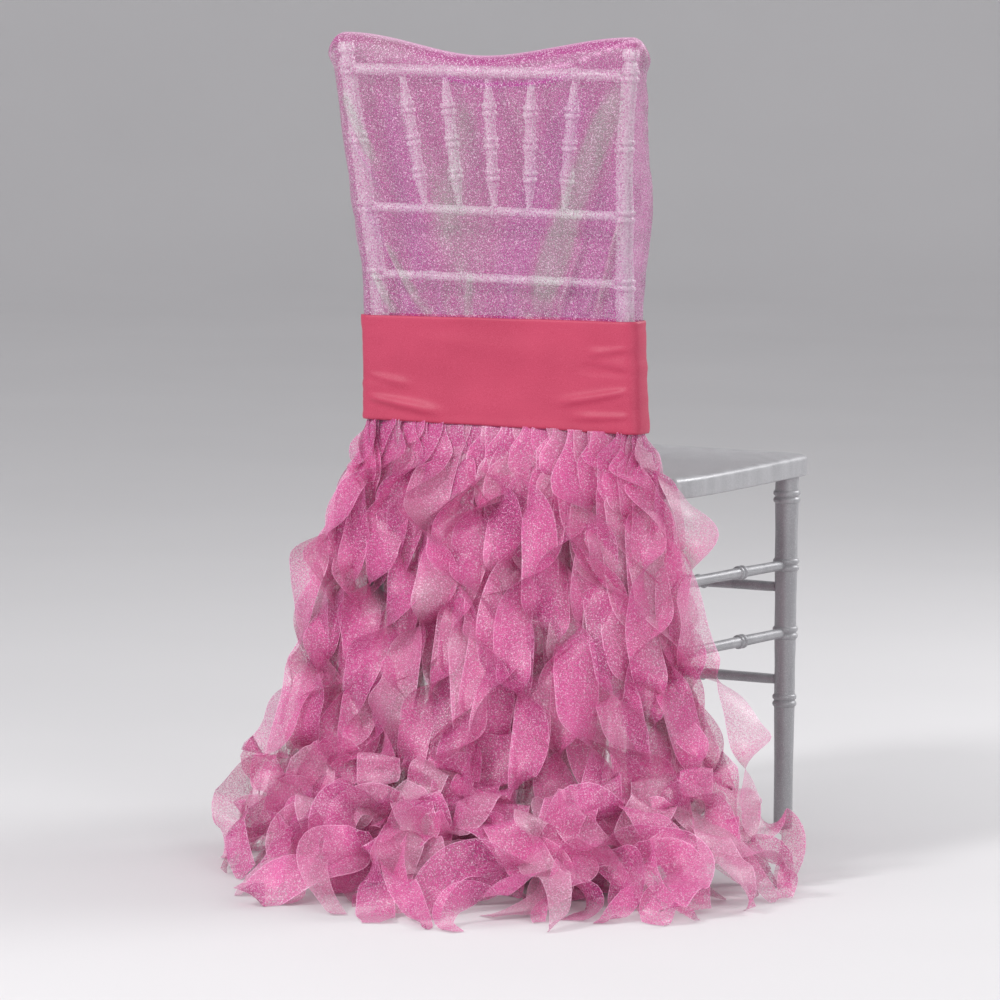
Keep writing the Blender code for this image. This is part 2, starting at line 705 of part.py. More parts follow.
def build_fringes(material):
    """Rows from inside to outside. Turns are degrees about the pile's centre, from right to left."""
    words = ("inner", "middle", "outer")
    for row, word in enumerate(words):
        count = BACK_COUNTS[row]
        fan = BACK_FAN[row]
        turns = [-90 - fan / 2 + fan * (i + 0.5) / count for i in range(count)]
        spacing = (2 * TAPE_HALF[row] / count, math.radians(fan / count))
        build_fringe(f"fringe_{word}_back", row, lambda share, r=row: back_path(r, 2 * share - 1), turns,
                     spacing, 0, material)
        if row == 0:
            continue
        for side, side_word, side_turns in SIDE_TURNS:
            build_fringe(f"fringe_{word}_{side_word}", row,
                         lambda share, r=row, s=side: side_path(r, s, share), side_turns,
                         SIDE_SPACING, 20 + 3 * side, material)


def stand_on_origin():
    """Move every object so that the box of them all stands on the origin by its middle."""
    low = Vector((1e9, 1e9, 1e9))
    high = Vector((-1e9, -1e9, -1e9))
    for obj in bpy.data.objects:
        for vertex in obj.data.vertices:
            low = Vector(map(min, low, vertex.co))
            high = Vector(map(max, high, vertex.co))
    shift = Vector((-(low.x + high.x) / 2, -(low.y + high.y) / 2, -low.z))
    for obj in bpy.data.objects:
        obj.location = shift


def main():
    clear_scene()
    paint = make_material("silver_paint", (0.60, 0.60, 0.61), 0.34, 0.55)
    organza = make_material("pink_organza", (0.80, 0.22, 0.46), 0.55, 0.0, 0.55)
    satin = make_material("rose_satin", (0.62, 0.07, 0.15), 0.42)
    for side, word in ((-1, "left"), (1, "right")):
        build_rear_post(f"rear_post_{word}", side, paint)
        build_front_leg(f"front_leg_{word}", side, paint)
    for name, height, radius in RAILS:
        build_rail(name, height, radius, paint)
    for index in range(SPINDLES):
        build_spindle(index, paint)
    build_stretchers(paint)
    build_seat(paint)
    build_hood(organza)
    build_band(satin)
    build_fringes(organza)
    stand_on_origin()


main()
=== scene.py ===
"""Chair back cover on a turned, bamboo-style banquet chair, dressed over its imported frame.

The chair gets finely turned pieces, and the cover gets a sheer hood, a stretch band and seven pieces of
spiral-cut strips. Lengths are metres. Sizes repeat those of the part's source, before its shift.
"""
import random
from math import atan2, copysign, cos, degrees, exp, hypot, pi, radians, sin, sqrt
from types import SimpleNamespace

import bmesh
import bpy
from mathutils import Matrix, Vector, noise


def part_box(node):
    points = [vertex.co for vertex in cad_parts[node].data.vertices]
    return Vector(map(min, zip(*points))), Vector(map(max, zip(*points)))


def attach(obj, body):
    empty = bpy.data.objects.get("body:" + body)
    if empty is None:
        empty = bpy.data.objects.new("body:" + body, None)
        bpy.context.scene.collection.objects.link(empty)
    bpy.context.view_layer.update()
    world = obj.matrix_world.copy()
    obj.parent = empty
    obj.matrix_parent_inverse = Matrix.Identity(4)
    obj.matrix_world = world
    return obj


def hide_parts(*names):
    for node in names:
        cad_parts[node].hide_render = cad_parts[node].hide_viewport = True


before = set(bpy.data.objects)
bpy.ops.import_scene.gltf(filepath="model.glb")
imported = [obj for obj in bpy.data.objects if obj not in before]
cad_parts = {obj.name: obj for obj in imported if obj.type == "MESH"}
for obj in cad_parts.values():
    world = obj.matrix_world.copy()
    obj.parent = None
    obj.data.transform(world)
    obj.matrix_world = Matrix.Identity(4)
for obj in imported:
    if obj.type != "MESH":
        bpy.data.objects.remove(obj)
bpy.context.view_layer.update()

X_AXIS = Vector((1, 0, 0))
Y_AXIS = Vector((0, 1, 0))
Z_AXIS = Vector((0, 0, 1))

# Chair
SEAT_TOP = 0.44
SEAT_THICK = 0.024
SEAT_FRONT = 0.362
SEAT_REAR = 0.001
SEAT_HALF = 0.2135
SEAT_CORNER = 0.034
SEAT_EDGE_LOW = 0.0028
SEAT_EDGE_TOP = 0.0058
# Drop of the seat's dished top, and inset from its edge
SEAT_DISH = ((0.0, 0.012), (0.0002, 0.024), (0.0009, 0.05), (0.0016, 0.09), (0.002, 0.14),
             (0.0021, 0.172))
SIDES = ((-1, "left"), (1, "right"))
FRONT_LEG_X = 0.183
FRONT_LEG_Y = 0.322
LEG_FOOT_RADIUS = 0.011
LEG_SWELL = 0.003
FINIAL_TOP = 0.924
# Height, spread and depth of the posts' middle line
POST_LINE = ((0.000, 0.186, -0.03), (0.22, 0.172, -0.023), (0.44, 0.163, -0.0215),
             (0.56, 0.1605, -0.0265), (0.658, 0.1613, -0.0359), (0.735, 0.1674, -0.0483),
             (0.814, 0.1732, -0.0601), (0.892, 0.1824, -0.0667), (0.924, 0.1847, -0.0689))
POST_FOOT_RADIUS = 0.0112
POST_SEAT_RADIUS = 0.0118
POST_TOP_RADIUS = 0.009
POST_JOINTS = (0.125, 0.232, 0.33, 0.575, 0.658, 0.735, 0.814, 0.892)
LEG_JOINTS = (0.152, 0.232, 0.312, 0.392)
# Height and radius along a post's foot, a leg's foot and a post's knob
POST_FOOT = ((0.0, 0.0104), (0.0012, 0.0112))
LEG_FOOT = ((0.0, 0.01), (0.0012, 0.0109))
FINIAL = ((0.903, 0.0091), (0.9045, 0.0086), (0.906, 0.0074), (0.9075, 0.0069), (0.909, 0.0074),
          (0.91, 0.0086), (0.9115, 0.0095), (0.914, 0.01), (0.917, 0.01), (0.9195, 0.0095),
          (0.9215, 0.0084), (0.923, 0.0066), (0.9238, 0.004), (0.924, 0.0012))
RAILS = (("rail_top", 0.892, 0.0068), ("rail_middle", 0.735, 0.0056), ("rail_lower", 0.658, 0.0056))
SPINDLES = 5
SPINDLE_RADIUS = 0.0068
SPINDLE_END_RADIUS = 0.0024
SPINDLE_PITCH_TOP = 0.0565
SPINDLE_PITCH_LOW = 0.045
STRETCHER_RADIUS = 0.0062
STRETCHER_INSET = 0.007
SIDE_STRETCHERS = ((0.312, "upper"), (0.232, "lower"))
FRONT_STRETCHERS = ((0.285, "upper"), (0.176, "lower"))
REAR_STRETCHER = 0.285

# Cloth
HOOD_HEM = 0.5075
HOOD_SIDE = 0.0152
HOOD_WAIST = 0.0163
HOOD_BACK = 0.0052
HOOD_MID_TOP = 0.9095
HOOD_END_TOP = 0.9335
HOOD_COLUMNS = 250
HOOD_STEP = 0.0032
HOOD_PANEL_LOW = 0.614
HOOD_FOLD = 0.905
HOOD_FOLD_DEPTH = 0.032
# Heights between which the hood eases from the band's waist to the posts
HOOD_FREE = (0.622, 0.665)
BAND_TOP = 0.615
BAND_LOW = 0.492
BAND_COLUMNS = 150
BAND_STEPS = 44
# How far the band's outer and inner skins stand out, and what its rims add
BAND_SKINS = (0.0022, 0.001)
BAND_RIM = (0.0003, 0.0006, 0.0004, 0.0001)
TAPE_LOW = 0.494
TAPE_HIGH = 0.507
HOOD_FRONT = ((0.5, -0.0055), (0.56, -0.0085), (0.622, -0.013), (0.66, -0.008), (0.74, -0.004),
              (0.82, -0.026), (0.88, -0.044), (0.92, -0.051))

# Strips: the inner row's value comes first where a line has three
TAPE_HALF = (0.128, 0.156, 0.156)
ROOT_GAP = 0.0022
ROOT_SHARE = 0.86
HALF_TURN = 0.118
BACK_COUNTS = (9, 11, 11)
BACK_FAN = (112, 130, 130)
SIDE_TURNS = ((1, "right", (-18, -6, 6)), (-1, "left", (-161, -174, -188)))
SIDE_LANE = 0.0098
FLOOR_CENTRE = (0.06, -0.1)
# Turn in degrees and distance from the centre to the pile's outline
PILE_REACH = ((-195, 0.3), (-169, 0.335), (-145, 0.335), (-125, 0.36), (-105, 0.4), (-80, 0.42),
              (-60, 0.45), (-45, 0.435), (-25, 0.4), (-5, 0.37), (10, 0.33))
PILE_SHARE = 0.96
HANG_REACH = 0.15
HANG_LIMIT = 0.8
TAIL_CLEAR = (0.0006, 0.016, 0.036)
TAIL_END = (0.58, 0.79, 1.00)
ROW_SHARE = (0.34, 0.67, 1.00)
WAVE_HEIGHT = 0.034
WAVE_START = 0.09
# Drop below the tape, and share of the way out to the landing
FLARE = ((0.04, 0.08), (0.09, 0.27), (0.18, 0.42), (0.28, 0.62), (0.38, 0.84))
STRIP_STEP = 0.005
STRIP_COLUMNS = (0.0, 0.028, 0.2, 0.4, 0.6, 0.8, 0.972, 1.0)
STRIPS_AT_ROOT = 2
FLOOR_SKIN = 0.0008
MEANDER = 0.024
DEPTH_DRIFT = 0.01
FLOOR_BEND = 0.05
FLOOR_LIFT = 0.03
TURN_JITTER = 3.0

# Each strip's own values, drawn in this order: a pair is a range, and a list holds choices
STRIP_DRAWS = {
    "landing": (0.8, 1.16), "start_side": [-1.0, 1.0], "hand": [-1.0, 1.0, 1.0], "phase": (-1.5, 1.5),
    "turn_length": (0.8, 1.35), "begin": (0.025, 0.075), "seed": (0, 90), "width": (0.038, 0.054),
    "cup": (-0.12, 0.12), "ruffle": (0.0015, 0.0045), "ruffle_length": (0.06, 0.11), "tone": (0.15, 0.85),
    "reach": (0.83, 1.03), "root_width": (0.8, 1.6), "stiff": (0.05, 0.32), "late": (-0.04, 0.05),
    "swing": (0.014, 0.038), "swing_side": [-1.0, 1.0], "swing_length": (0.17, 0.3),
    "swing_start": (-0.6, 0.6), "billow": (-0.006, 0.016), "stand": (0.45, 1.0),
    "end": [(0.14, 0.15), (0.35, 0.09), (0.7, 0.05)],
}

# Colours
# PAINT_DARK and PAINT_LIGHT are the dark and light streaks; each pair runs from painted shade low on the
# chair to painted light high up, over the heights in PAINT_CHANGE
PAINT_DARK = ((0.27, 0.27, 0.285), (0.53, 0.53, 0.545))
PAINT_LIGHT = ((0.38, 0.38, 0.395), (0.65, 0.65, 0.665))
PAINT_FLAKE = (0.86, 0.86, 0.88)
# Colour of the painted shade in the grooves
PAINT_GROOVE_SHADE = (0.2, 0.2, 0.21)
PAINT_CHANGE = (0.38, 0.62)
# Colour of the organza's painted glints
GLINT = (1.0, 0.76, 0.92)
# Pale pink of the painted highlights on hems, seams and fold crests, and the sheen's tint
HIGHLIGHT_PINK = (1.0, 0.62, 0.86)
# Direction that the organza's painted sheen faces
SHEEN_DIRECTION = (0.62, -0.35, 0.7)
ROSE_DEEP = (0.42, 0.024, 0.074)
ROSE_BRIGHT = (0.48, 0.034, 0.092)
ROSE_FIBRE = (0.62, 0.1, 0.18)
ROSE_COURSE = (0.42, 0.03, 0.085)
ROSE_SHEEN = (1.0, 0.55, 0.62)
FLOOR_COLOURS = ((0.69, 0.68, 0.69), (0.74, 0.73, 0.74))
WORLD_COLOUR = (0.9, 0.9, 0.92, 1.0)
WORLD_STRENGTH = 0.68

# Lights: name, place, aim, size and power
LIGHTS = (
    ("key", (-1.2, -3.4, 2.6), (0.0, 0.0, 0.5), 1.0, 108),
    ("fill", (3.2, -2.2, 1.6), (0.0, 0.0, 0.45), 1.8, 40),
    ("rim", (1.6, 2.6, 2.2), (0.0, 0.0, 0.6), 1.4, 60),
)

# Stage and camera: turns in radians, lens in millimetres
STAGE_FLAT = 9.0
STAGE_CORNER = 3.0
STAGE_WALL = 7.0
STAGE_SIDES = 72
CAMERA_PLACE = (3.4356, -5.96661, 1.11972)
# Azimuth, pitch and roll
CAMERA_TURNS = (0.5247, 0.1035, 0.0076)
CAMERA_LENS = 219.015
CAMERA_FAR = 60.0

seat_low, seat_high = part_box("seat")
SHIFT = Vector(((seat_low[0] + seat_high[0]) / 2, seat_high[1] - SEAT_FRONT, 0.0))


def interpolate(table, at, column=1):
    """Read a smooth value from a table whose first column rises."""
    if at <= table[0][0]:
        return table[0][column]
    if at >= table[-1][0]:
        return table[-1][column]
    index = max(i for i in range(len(table) - 1) if table[i][0] <= at)
    before = table[max(index - 1, 0)]
    start = table[index]
    end = table[index + 1]
    after = table[min(index + 2, len(table) - 1)]
    span = end[0] - start[0]
    share = (at - start[0]) / span
    slope_start = (end[column] - before[column]) / (end[0] - before[0]) * span
    slope_end = (after[column] - start[column]) / (after[0] - start[0]) * span
    square = share * share
    cube = square * share
    return ((2 * cube - 3 * square + 1) * start[column] + (cube - 2 * square + share) * slope_start
            + (3 * square - 2 * cube) * end[column] + (cube - square) * slope_end)


def smooth_step(low, high, value):
    share = min(max((value - low) / (high - low), 0.0), 1.0)
    return share * share * (3 - 2 * share)


def bell(value, width):
    return exp(-(value / width) ** 2)


def waver(x, y, z):
    """Smooth noise at a place, from -1 to 1."""
    return noise.noise(Vector((x, y, z)))


def mix(a, b, share):
    return a + (b - a) * share


def post_spread(height):
    return interpolate(POST_LINE, height, 1)


def post_y(height):
    return interpolate(POST_LINE, height, 2)


def post_radius(height):
    if height < SEAT_TOP:
        return mix(POST_FOOT_RADIUS, POST_SEAT_RADIUS, height / SEAT_TOP)
    return mix(POST_SEAT_RADIUS, POST_TOP_RADIUS, (height - SEAT_TOP) / (FINIAL_TOP - SEAT_TOP))


# Materials
class Nodes:
    """Short hand for building a material's node tree."""

    def __init__(self, name):
        self.material = bpy.data.materials.new(name)
        self.material.use_nodes = True
        self.tree = self.material.node_tree
        self.shader = self.tree.nodes["Principled BSDF"]

    def put(self, socket, value):
        """Link an output to the input socket, or set it to a plain value."""
        if isinstance(value, bpy.types.NodeSocket):
            self.tree.links.new(value, socket)
        else:
            socket.default_value = value

    def fill(self, node, **inputs):
        for key, value in inputs.items():
            self.put(node.inputs[key.replace("_", " ")], value)
        return node

    def add(self, kind, **inputs):
        return self.fill(self.tree.nodes.new(kind), **inputs)

    def shade(self, **inputs):
        self.fill(self.shader, **inputs)

    def place(self):
        return self.add("ShaderNodeTexCoord").outputs["Object"]

    def noise(self, scale, detail=3.0, rough=0.55, vector=None, stretch=None):
        vector = vector or self.place()
        if stretch:
            vector = self.add("ShaderNodeMapping", Vector=vector, Scale=stretch).outputs["Vector"]
        node = self.add("ShaderNodeTexNoise", Vector=vector, Scale=scale, Detail=detail, Roughness=rough)
        return node.outputs["Fac"]

    def attribute(self, name):
        node = self.tree.nodes.new("ShaderNodeAttribute")
        node.attribute_name = name
        return node.outputs["Fac"]

    def math(self, operation, a, b=0.0):
        node = self.tree.nodes.new("ShaderNodeMath")
        node.operation = operation
        self.put(node.inputs[0], a)
        self.put(node.inputs[1], b)
        return node.outputs["Value"]

    def ranged(self, value, low, high, out_low=0.0, out_high=1.0):
        node = self.add("ShaderNodeMapRange", Value=value, From_Min=low, From_Max=high,
                        To_Min=out_low, To_Max=out_high)
        return node.outputs["Result"]

    def blend(self, share, a, b):
        """Mix two colours; the sockets are the share and the two colours."""
        node = self.tree.nodes.new("ShaderNodeMix")
        node.data_type = "RGBA"
        for index, value in ((0, share), (6, a), (7, b)):
            self.put(node.inputs[index], (*value, 1.0) if isinstance(value, tuple) else value)
        return node.outputs[2]

    def bump(self, height, distance, strength):
        node = self.add("ShaderNodeBump", Height=height, Distance=distance, Strength=strength)
        self.shade(Normal=node.outputs["Normal"])


def silver_paint():
    """Silver paint over turned wood: fine flakes, brush streaks, painted shade in the grooves, and painted
    shade low down that turns to painted light high up.
    """
    n = Nodes("silver_paint_fine")
    height = n.add("ShaderNodeSeparateXYZ", Vector=n.place()).outputs["Z"]
    # Painted light and shade: the paint turns lighter with height, from the seat and legs up to the back
    painted_light_share = n.ranged(height, *PAINT_CHANGE)
    low = n.blend(painted_light_share, *PAINT_DARK)
    high = n.blend(painted_light_share, *PAINT_LIGHT)
    flakes = n.noise(1400.0, 2.0)
    streaks = n.noise(60.0, 4.0, 0.6, stretch=(1.0, 1.0, 0.12))
    cloud = n.noise(9.0, 3.0)
    colour = n.blend(n.ranged(streaks, 0.3, 0.7), low, high)
    colour = n.blend(n.ranged(cloud, 0.35, 0.7, 0.0, 0.35), colour, high)
    colour = n.blend(n.ranged(flakes, 0.52, 0.72, 0.0, 0.5), colour, PAINT_FLAKE)
    # Painted shade: the paint darkens in the grooves, where the surface is hollow
    pointed = n.add("ShaderNodeNewGeometry").outputs["Pointiness"]
    colour = n.blend(n.ranged(pointed, 0.36, 0.49, 0.85, 0.0), colour, PAINT_GROOVE_SHADE)
    n.shade(Base_Color=colour, Roughness=n.ranged(streaks, 0.3, 0.7, 0.36, 0.5),
            Metallic=n.ranged(height, *PAINT_CHANGE, 0.22, 0.02), Coat_Weight=0.1, Coat_Roughness=0.35)
    grain = n.math("ADD", n.math("MULTIPLY", streaks, 0.7), n.math("MULTIPLY", flakes, 0.3))
    n.bump(grain, 0.0004, 0.35)
    return n.material


def organza(name, bright, deep, silver, alpha, silver_share, sheen, weave):
    """Crystal organza: a sheer weave with painted glints, whose colour shifts from pink to silver as a
    painted sheen where the cloth faces one fixed direction, to deep pink as painted shade where it is
    edge-on to it, and with random patches and painted light and shade at its folds.
    """
    n = Nodes(name)
    place = n.place()
    # Painted sheen and shade: cloth square to one fixed direction, from either side, turns silver, and cloth
    # edge-on to it turns deep pink
    dot = n.tree.nodes.new("ShaderNodeVectorMath")
    dot.operation = "DOT_PRODUCT"
    n.put(dot.inputs[0], n.add("ShaderNodeNewGeometry").outputs["Normal"])
    n.put(dot.inputs[1], Vector(SHEEN_DIRECTION).normalized())
    sheen_facing = n.math("ABSOLUTE", dot.outputs["Value"])
    patches = n.noise(7.0, 2.0, 0.5, place)
    tone = n.attribute("tone")
    edge = n.attribute("edge")
    ply = n.attribute("ply")
    sheen_shade_and_tone = n.math("ADD", n.math("MULTIPLY", sheen_facing, 0.45), n.math("MULTIPLY", patches, 0.65))
    sheen_shade_and_tone = n.math("ADD", sheen_shade_and_tone, n.math("MULTIPLY", n.math("SUBTRACT", tone, 0.5), 0.7))
    # The shimmer mixes that painted sheen and shade with random patches and tone; high turns silver, low
    # turns deep pink
    to_silver = n.ranged(sheen_shade_and_tone, 0.62 - silver_share, 0.98 - silver_share)
    to_deep = n.ranged(sheen_shade_and_tone, 0.5, 0.24)
    colour = n.blend(to_deep, n.blend(to_silver, bright, silver), deep)
    grain = n.noise(weave, 3.0, 0.8, place)
    glitter = n.noise(weave * 1.25, 2.0, 0.7, place)
    colour = n.blend(n.ranged(grain, 0.46, 0.58, 0.0, 0.5), colour, deep)
    # Painted glints: specks of the weave turned pale pink
    colour = n.blend(n.ranged(glitter, 0.54, 0.62, 0.0, 0.75), colour, GLINT)
    # Painted highlight: hems, seams, the tape and fold crests are lightened towards pale pink; the alpha
    # below adds their denser cloth
    colour = n.blend(n.math("MULTIPLY", edge, 0.5), colour, HIGHLIGHT_PINK)
    cover = n.ranged(grain, 0.42, 0.6, alpha - 0.19, alpha + 0.19)
    cover = n.math("ADD", cover, n.math("MULTIPLY", n.math("ADD", edge, ply), 0.28))
    n.shade(Base_Color=colour, Alpha=n.math("MINIMUM", cover, 0.98),
            Roughness=n.ranged(glitter, 0.4, 0.7, 0.46, 0.26), Specular_IOR_Level=0.6,
            Sheen_Weight=sheen, Sheen_Roughness=0.3, Sheen_Tint=(*HIGHLIGHT_PINK, 1.0))
    n.bump(n.math("ADD", grain, glitter), 0.0004, 0.5)
    return n.material


def rose_satin():
    """Matt stretch satin: a close knit with fine level courses and a soft sheen."""
    n = Nodes("rose_satin_fine")
    place = n.place()
    courses = n.noise(260.0, 2.0, 0.5, place, (0.25, 0.25, 3.2))
    fine = n.noise(1500.0, 2.0, 0.6, place)
    cloud = n.noise(14.0, 3.0, 0.5, place)
    colour = n.blend(n.ranged(cloud, 0.35, 0.68), ROSE_DEEP, ROSE_BRIGHT)
    colour = n.blend(n.ranged(fine, 0.4, 0.64, 0.0, 0.45), colour, ROSE_FIBRE)
    colour = n.blend(n.ranged(courses, 0.45, 0.62, 0.0, 0.1), colour, ROSE_COURSE)
    n.shade(Base_Color=colour, Roughness=n.ranged(fine, 0.3, 0.7, 0.62, 0.46),
            Sheen_Weight=0.3, Sheen_Roughness=0.35, Sheen_Tint=(*ROSE_SHEEN, 1.0))
    n.bump(n.math("ADD", n.math("MULTIPLY", courses, 0.3), n.math("MULTIPLY", fine, 0.5)), 0.0003, 0.3)
    return n.material


def plain_floor():
    n = Nodes("studio_floor")
    n.shade(Base_Color=n.blend(n.noise(1.4, 2.0), *FLOOR_COLOURS), Roughness=0.75)
    return n.material


# Making pieces
def add_object(name, data):
    thing = bpy.data.objects.new(name, data)
    bpy.context.scene.collection.objects.link(thing)
    return thing


def add_mesh(name, mesh, material):
    """Put a bmesh into the scene as a smooth object with one material."""
    data = bpy.data.meshes.new(name)
    mesh.to_mesh(data)
    mesh.free()
    data.materials.append(material)
    data.shade_smooth()
    return add_object(name, data)


def finish_piece(name, mesh, material, slot, *nodes, smooth=40, attributes=()):
    """Turn a bmesh in the source's own place into a piece that stands for its nodes."""
    for vertex in mesh.verts:
        vertex.co += SHIFT
    piece = add_mesh(name, mesh, material)
    if smooth:
        piece.data.set_sharp_from_angle(angle=radians(smooth))
    for key, values in attributes:
        layer = piece.data.attributes.new(key, "FLOAT", "POINT")
        layer.data.foreach_set("value", values)
    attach(piece, "root")
    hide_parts(*nodes)
    return piece


def join_rings(mesh, rings):
    """Quads between neighbouring closed rings of the same count."""
    for low, high in zip(rings, rings[1:]):
        for i in range(len(low)):
            j = (i + 1) % len(low)
            mesh.faces.new((low[i], low[j], high[j], high[i]))


def close_body(mesh, rings):
    """Closed body from rings, with a flat face at each end."""
    join_rings(mesh, rings)
    mesh.faces.new(rings[0][::-1])
    mesh.faces.new(rings[-1])
    bmesh.ops.recalc_face_normals(mesh, faces=mesh.faces)


def lathe(stations, sides, first, second):
    """Closed round piece through stations (centre, radius)."""
    mesh = bmesh.new()
    angles = [2 * pi * i / sides for i in range(sides)]
    spokes = [cos(a) * first + sin(a) * second for a in angles]
    rings = [[mesh.verts.new(centre + radius * spoke) for spoke in spokes] for centre, radius in stations]
    close_body(mesh, rings)
    return mesh


# Bead profiles: distance from the joint's middle and rise over the shaft, in metres
DOUBLE_BEAD = ((-0.009, 0.0), (-0.0074, 0.0002), (-0.0066, 0.0012), (-0.0052, 0.002), (-0.0034, 0.0021),
               (-0.0018, 0.0015), (-0.0008, 0.0004), (0.0, 0.0001))
RAIL_BEAD = ((-0.0062, 0.0), (-0.0056, 0.0006), (-0.0046, 0.0009), (-0.0036, 0.0006), (-0.003, 0.0),
             (-0.0022, -0.0001), (-0.0016, 0.0005), (-0.0006, 0.0009), (0.0, 0.001))


def mirrored(profile):
    return list(profile) + [(-d, rise) for d, rise in reversed(profile[:-1])]


def turned_marks(length, joints, radius_at, profile, swell=0.0004):
    """Distances and radii along a shaft: beads at its joints, and a faint waist between them."""
    beads = mirrored(profile)
    half = beads[-1][0]
    density_and_highlights = [0.0] + list(joints) + [length]
    marks = []
    for start, end in zip(density_and_highlights, density_and_highlights[1:]):
        low = start + half if start in joints else start
        high = end - half if end in joints else end
        steps = max(2, round((high - low) / 0.008))
        for i in range(steps + 1):
            share = i / steps
            at = mix(low, high, share)
            marks.append((at, radius_at(at) - swell * sin(pi * share) ** 2))
    for joint in joints:
        marks += [(joint + d, radius_at(joint + d) + rise) for d, rise in beads[1:-1]]
    marks.sort()
    return [mark for k, mark in enumerate(marks) if k == 0 or mark[0] - marks[k - 1][0] > 1e-6]


def leg_radius(height):
    return LEG_FOOT_RADIUS + LEG_SWELL * height / (SEAT_TOP - SEAT_THICK)


def at_post(side, height):
    return Vector((side * post_spread(height), post_y(height), height))


def at_leg(side, height):
    return Vector((side * FRONT_LEG_X, FRONT_LEG_Y, height))


def build_uprights(paint):
    """Rear posts with their knobs, and front legs."""
    post = turned_marks(FINIAL[0][0], POST_JOINTS, post_radius, DOUBLE_BEAD)[:-1] + list(FINIAL)
    leg = turned_marks(SEAT_TOP - SEAT_THICK, LEG_JOINTS, leg_radius, DOUBLE_BEAD)
    for word, node, place, foot, shaft, sides in (("post", "rear_post", at_post, POST_FOOT, post, 40),
                                                  ("leg", "front_leg", at_leg, LEG_FOOT, leg, 44)):
        marks = list(foot) + [mark for mark in shaft if mark[0] > 0.002]
        for side, side_word in SIDES:
            mesh = lathe([(place(side, z), r) for z, r in marks], sides, X_AXIS, Y_AXIS)
            finish_piece(f"turned_{word}_{side_word}", mesh, paint, "silver_paint", f"{node}_{side_word}")


def spindle_places():
    return [index - (SPINDLES - 1) / 2 for index in range(SPINDLES)]


def build_rails(paint):
    for name, height, radius in RAILS:
        reach = post_spread(height) - 0.6 * post_radius(height)
        pitch = SPINDLE_PITCH_TOP if name == "rail_top" else SPINDLE_PITCH_LOW
        joints = [reach + place * pitch for place in spindle_places()]
        marks = turned_marks(2 * reach, joints, lambda _, r=radius: r, RAIL_BEAD, 0.0)
        centre = Vector((0, post_y(height), height))
        stations = [(centre + X_AXIS * (d - reach), r) for d, r in marks]
        finish_piece(f"turned_{name}", lathe(stations, 32, Y_AXIS, Z_AXIS), paint, "silver_paint", name)


def build_spindles(paint):
    _, top_z, top_radius = RAILS[0]
    _, low_z, low_radius = RAILS[1]
    for index, place in enumerate(spindle_places()):
        top = Vector((place * SPINDLE_PITCH_TOP, post_y(top_z), top_z))
        low = Vector((place * SPINDLE_PITCH_LOW, post_y(low_z), low_z))
        along = (top - low).normalized()
        start = low + along * low_radius * 0.8
        length = (top - along * top_radius * 0.8 - start).length

        def radius_at(distance):
            from_end = min(distance, length - distance) / (0.25 * length)
            return mix(SPINDLE_END_RADIUS, SPINDLE_RADIUS, smooth_step(-0.35, 1.0, min(from_end, 1.0)))

        marks = turned_marks(length, [s * length for s in (0.25, 0.5, 0.75)], radius_at, DOUBLE_BEAD, 0.0005)
        across = along.cross(Y_AXIS).normalized()
        stations = [(start + along * d, r) for d, r in marks]
        mesh = lathe(stations, 32, across, along.cross(across).normalized())
        finish_piece(f"turned_spindle_{index + 1}", mesh, paint, "silver_paint", f"spindle_{index + 1}")


def build_stretchers(paint):
    lines = []
    for side, word in SIDES:
        for height, place in SIDE_STRETCHERS:
            lines.append((f"stretcher_{place}_{word}", at_post(side, height), at_leg(side, height)))
    for height, place in FRONT_STRETCHERS:
        lines.append((f"stretcher_{place}_front", at_leg(-1, height), at_leg(1, height)))
    lines.append(("stretcher_rear", at_post(-1, REAR_STRETCHER), at_post(1, REAR_STRETCHER)))
    for name, start, end in lines:
        along = (end - start).normalized()
        start = start + along * STRETCHER_INSET
        length = (end - along * STRETCHER_INSET - start).length
        level = along.cross(Z_AXIS).normalized()

        def radius_at(distance):
            return STRETCHER_RADIUS - 0.0006 * bell(min(distance, length - distance), 0.02)

        marks = turned_marks(length, [0.3 * length, 0.7 * length], radius_at, DOUBLE_BEAD, 0.0003)
        stations = [(start + along * d, r) for d, r in marks]
        mesh = lathe(stations, 32, level, level.cross(along))
        finish_piece(f"turned_{name}", mesh, paint, "silver_paint", name)


def seat_outline():
    """Smooth plan of the seat's right half, from the rear to the front."""
    notch_x = post_spread(SEAT_TOP) - 0.02
    notch_y = post_y(SEAT_TOP) + 0.022
    points = [(notch_x, notch_y), (0.2, notch_y + 0.003), (0.2085, 0.014), (0.213, 0.05),
              (SEAT_HALF, 0.11), (0.21, 0.2), (0.204, 0.29)]
    corner_x = 0.202 - SEAT_CORNER
    corner_y = SEAT_FRONT - SEAT_CORNER
    for step in range(5):
        angle = radians(step * 22.5)
        points.append((corner_x + SEAT_CORNER * cos(angle), corner_y + SEAT_CORNER * sin(angle)))
    table = [(float(i), *point) for i, point in enumerate(points)]
    last = len(points) - 1
    return [(interpolate(table, last * i / 90, 1), interpolate(table, last * i / 90, 2)) for i in range(91)]


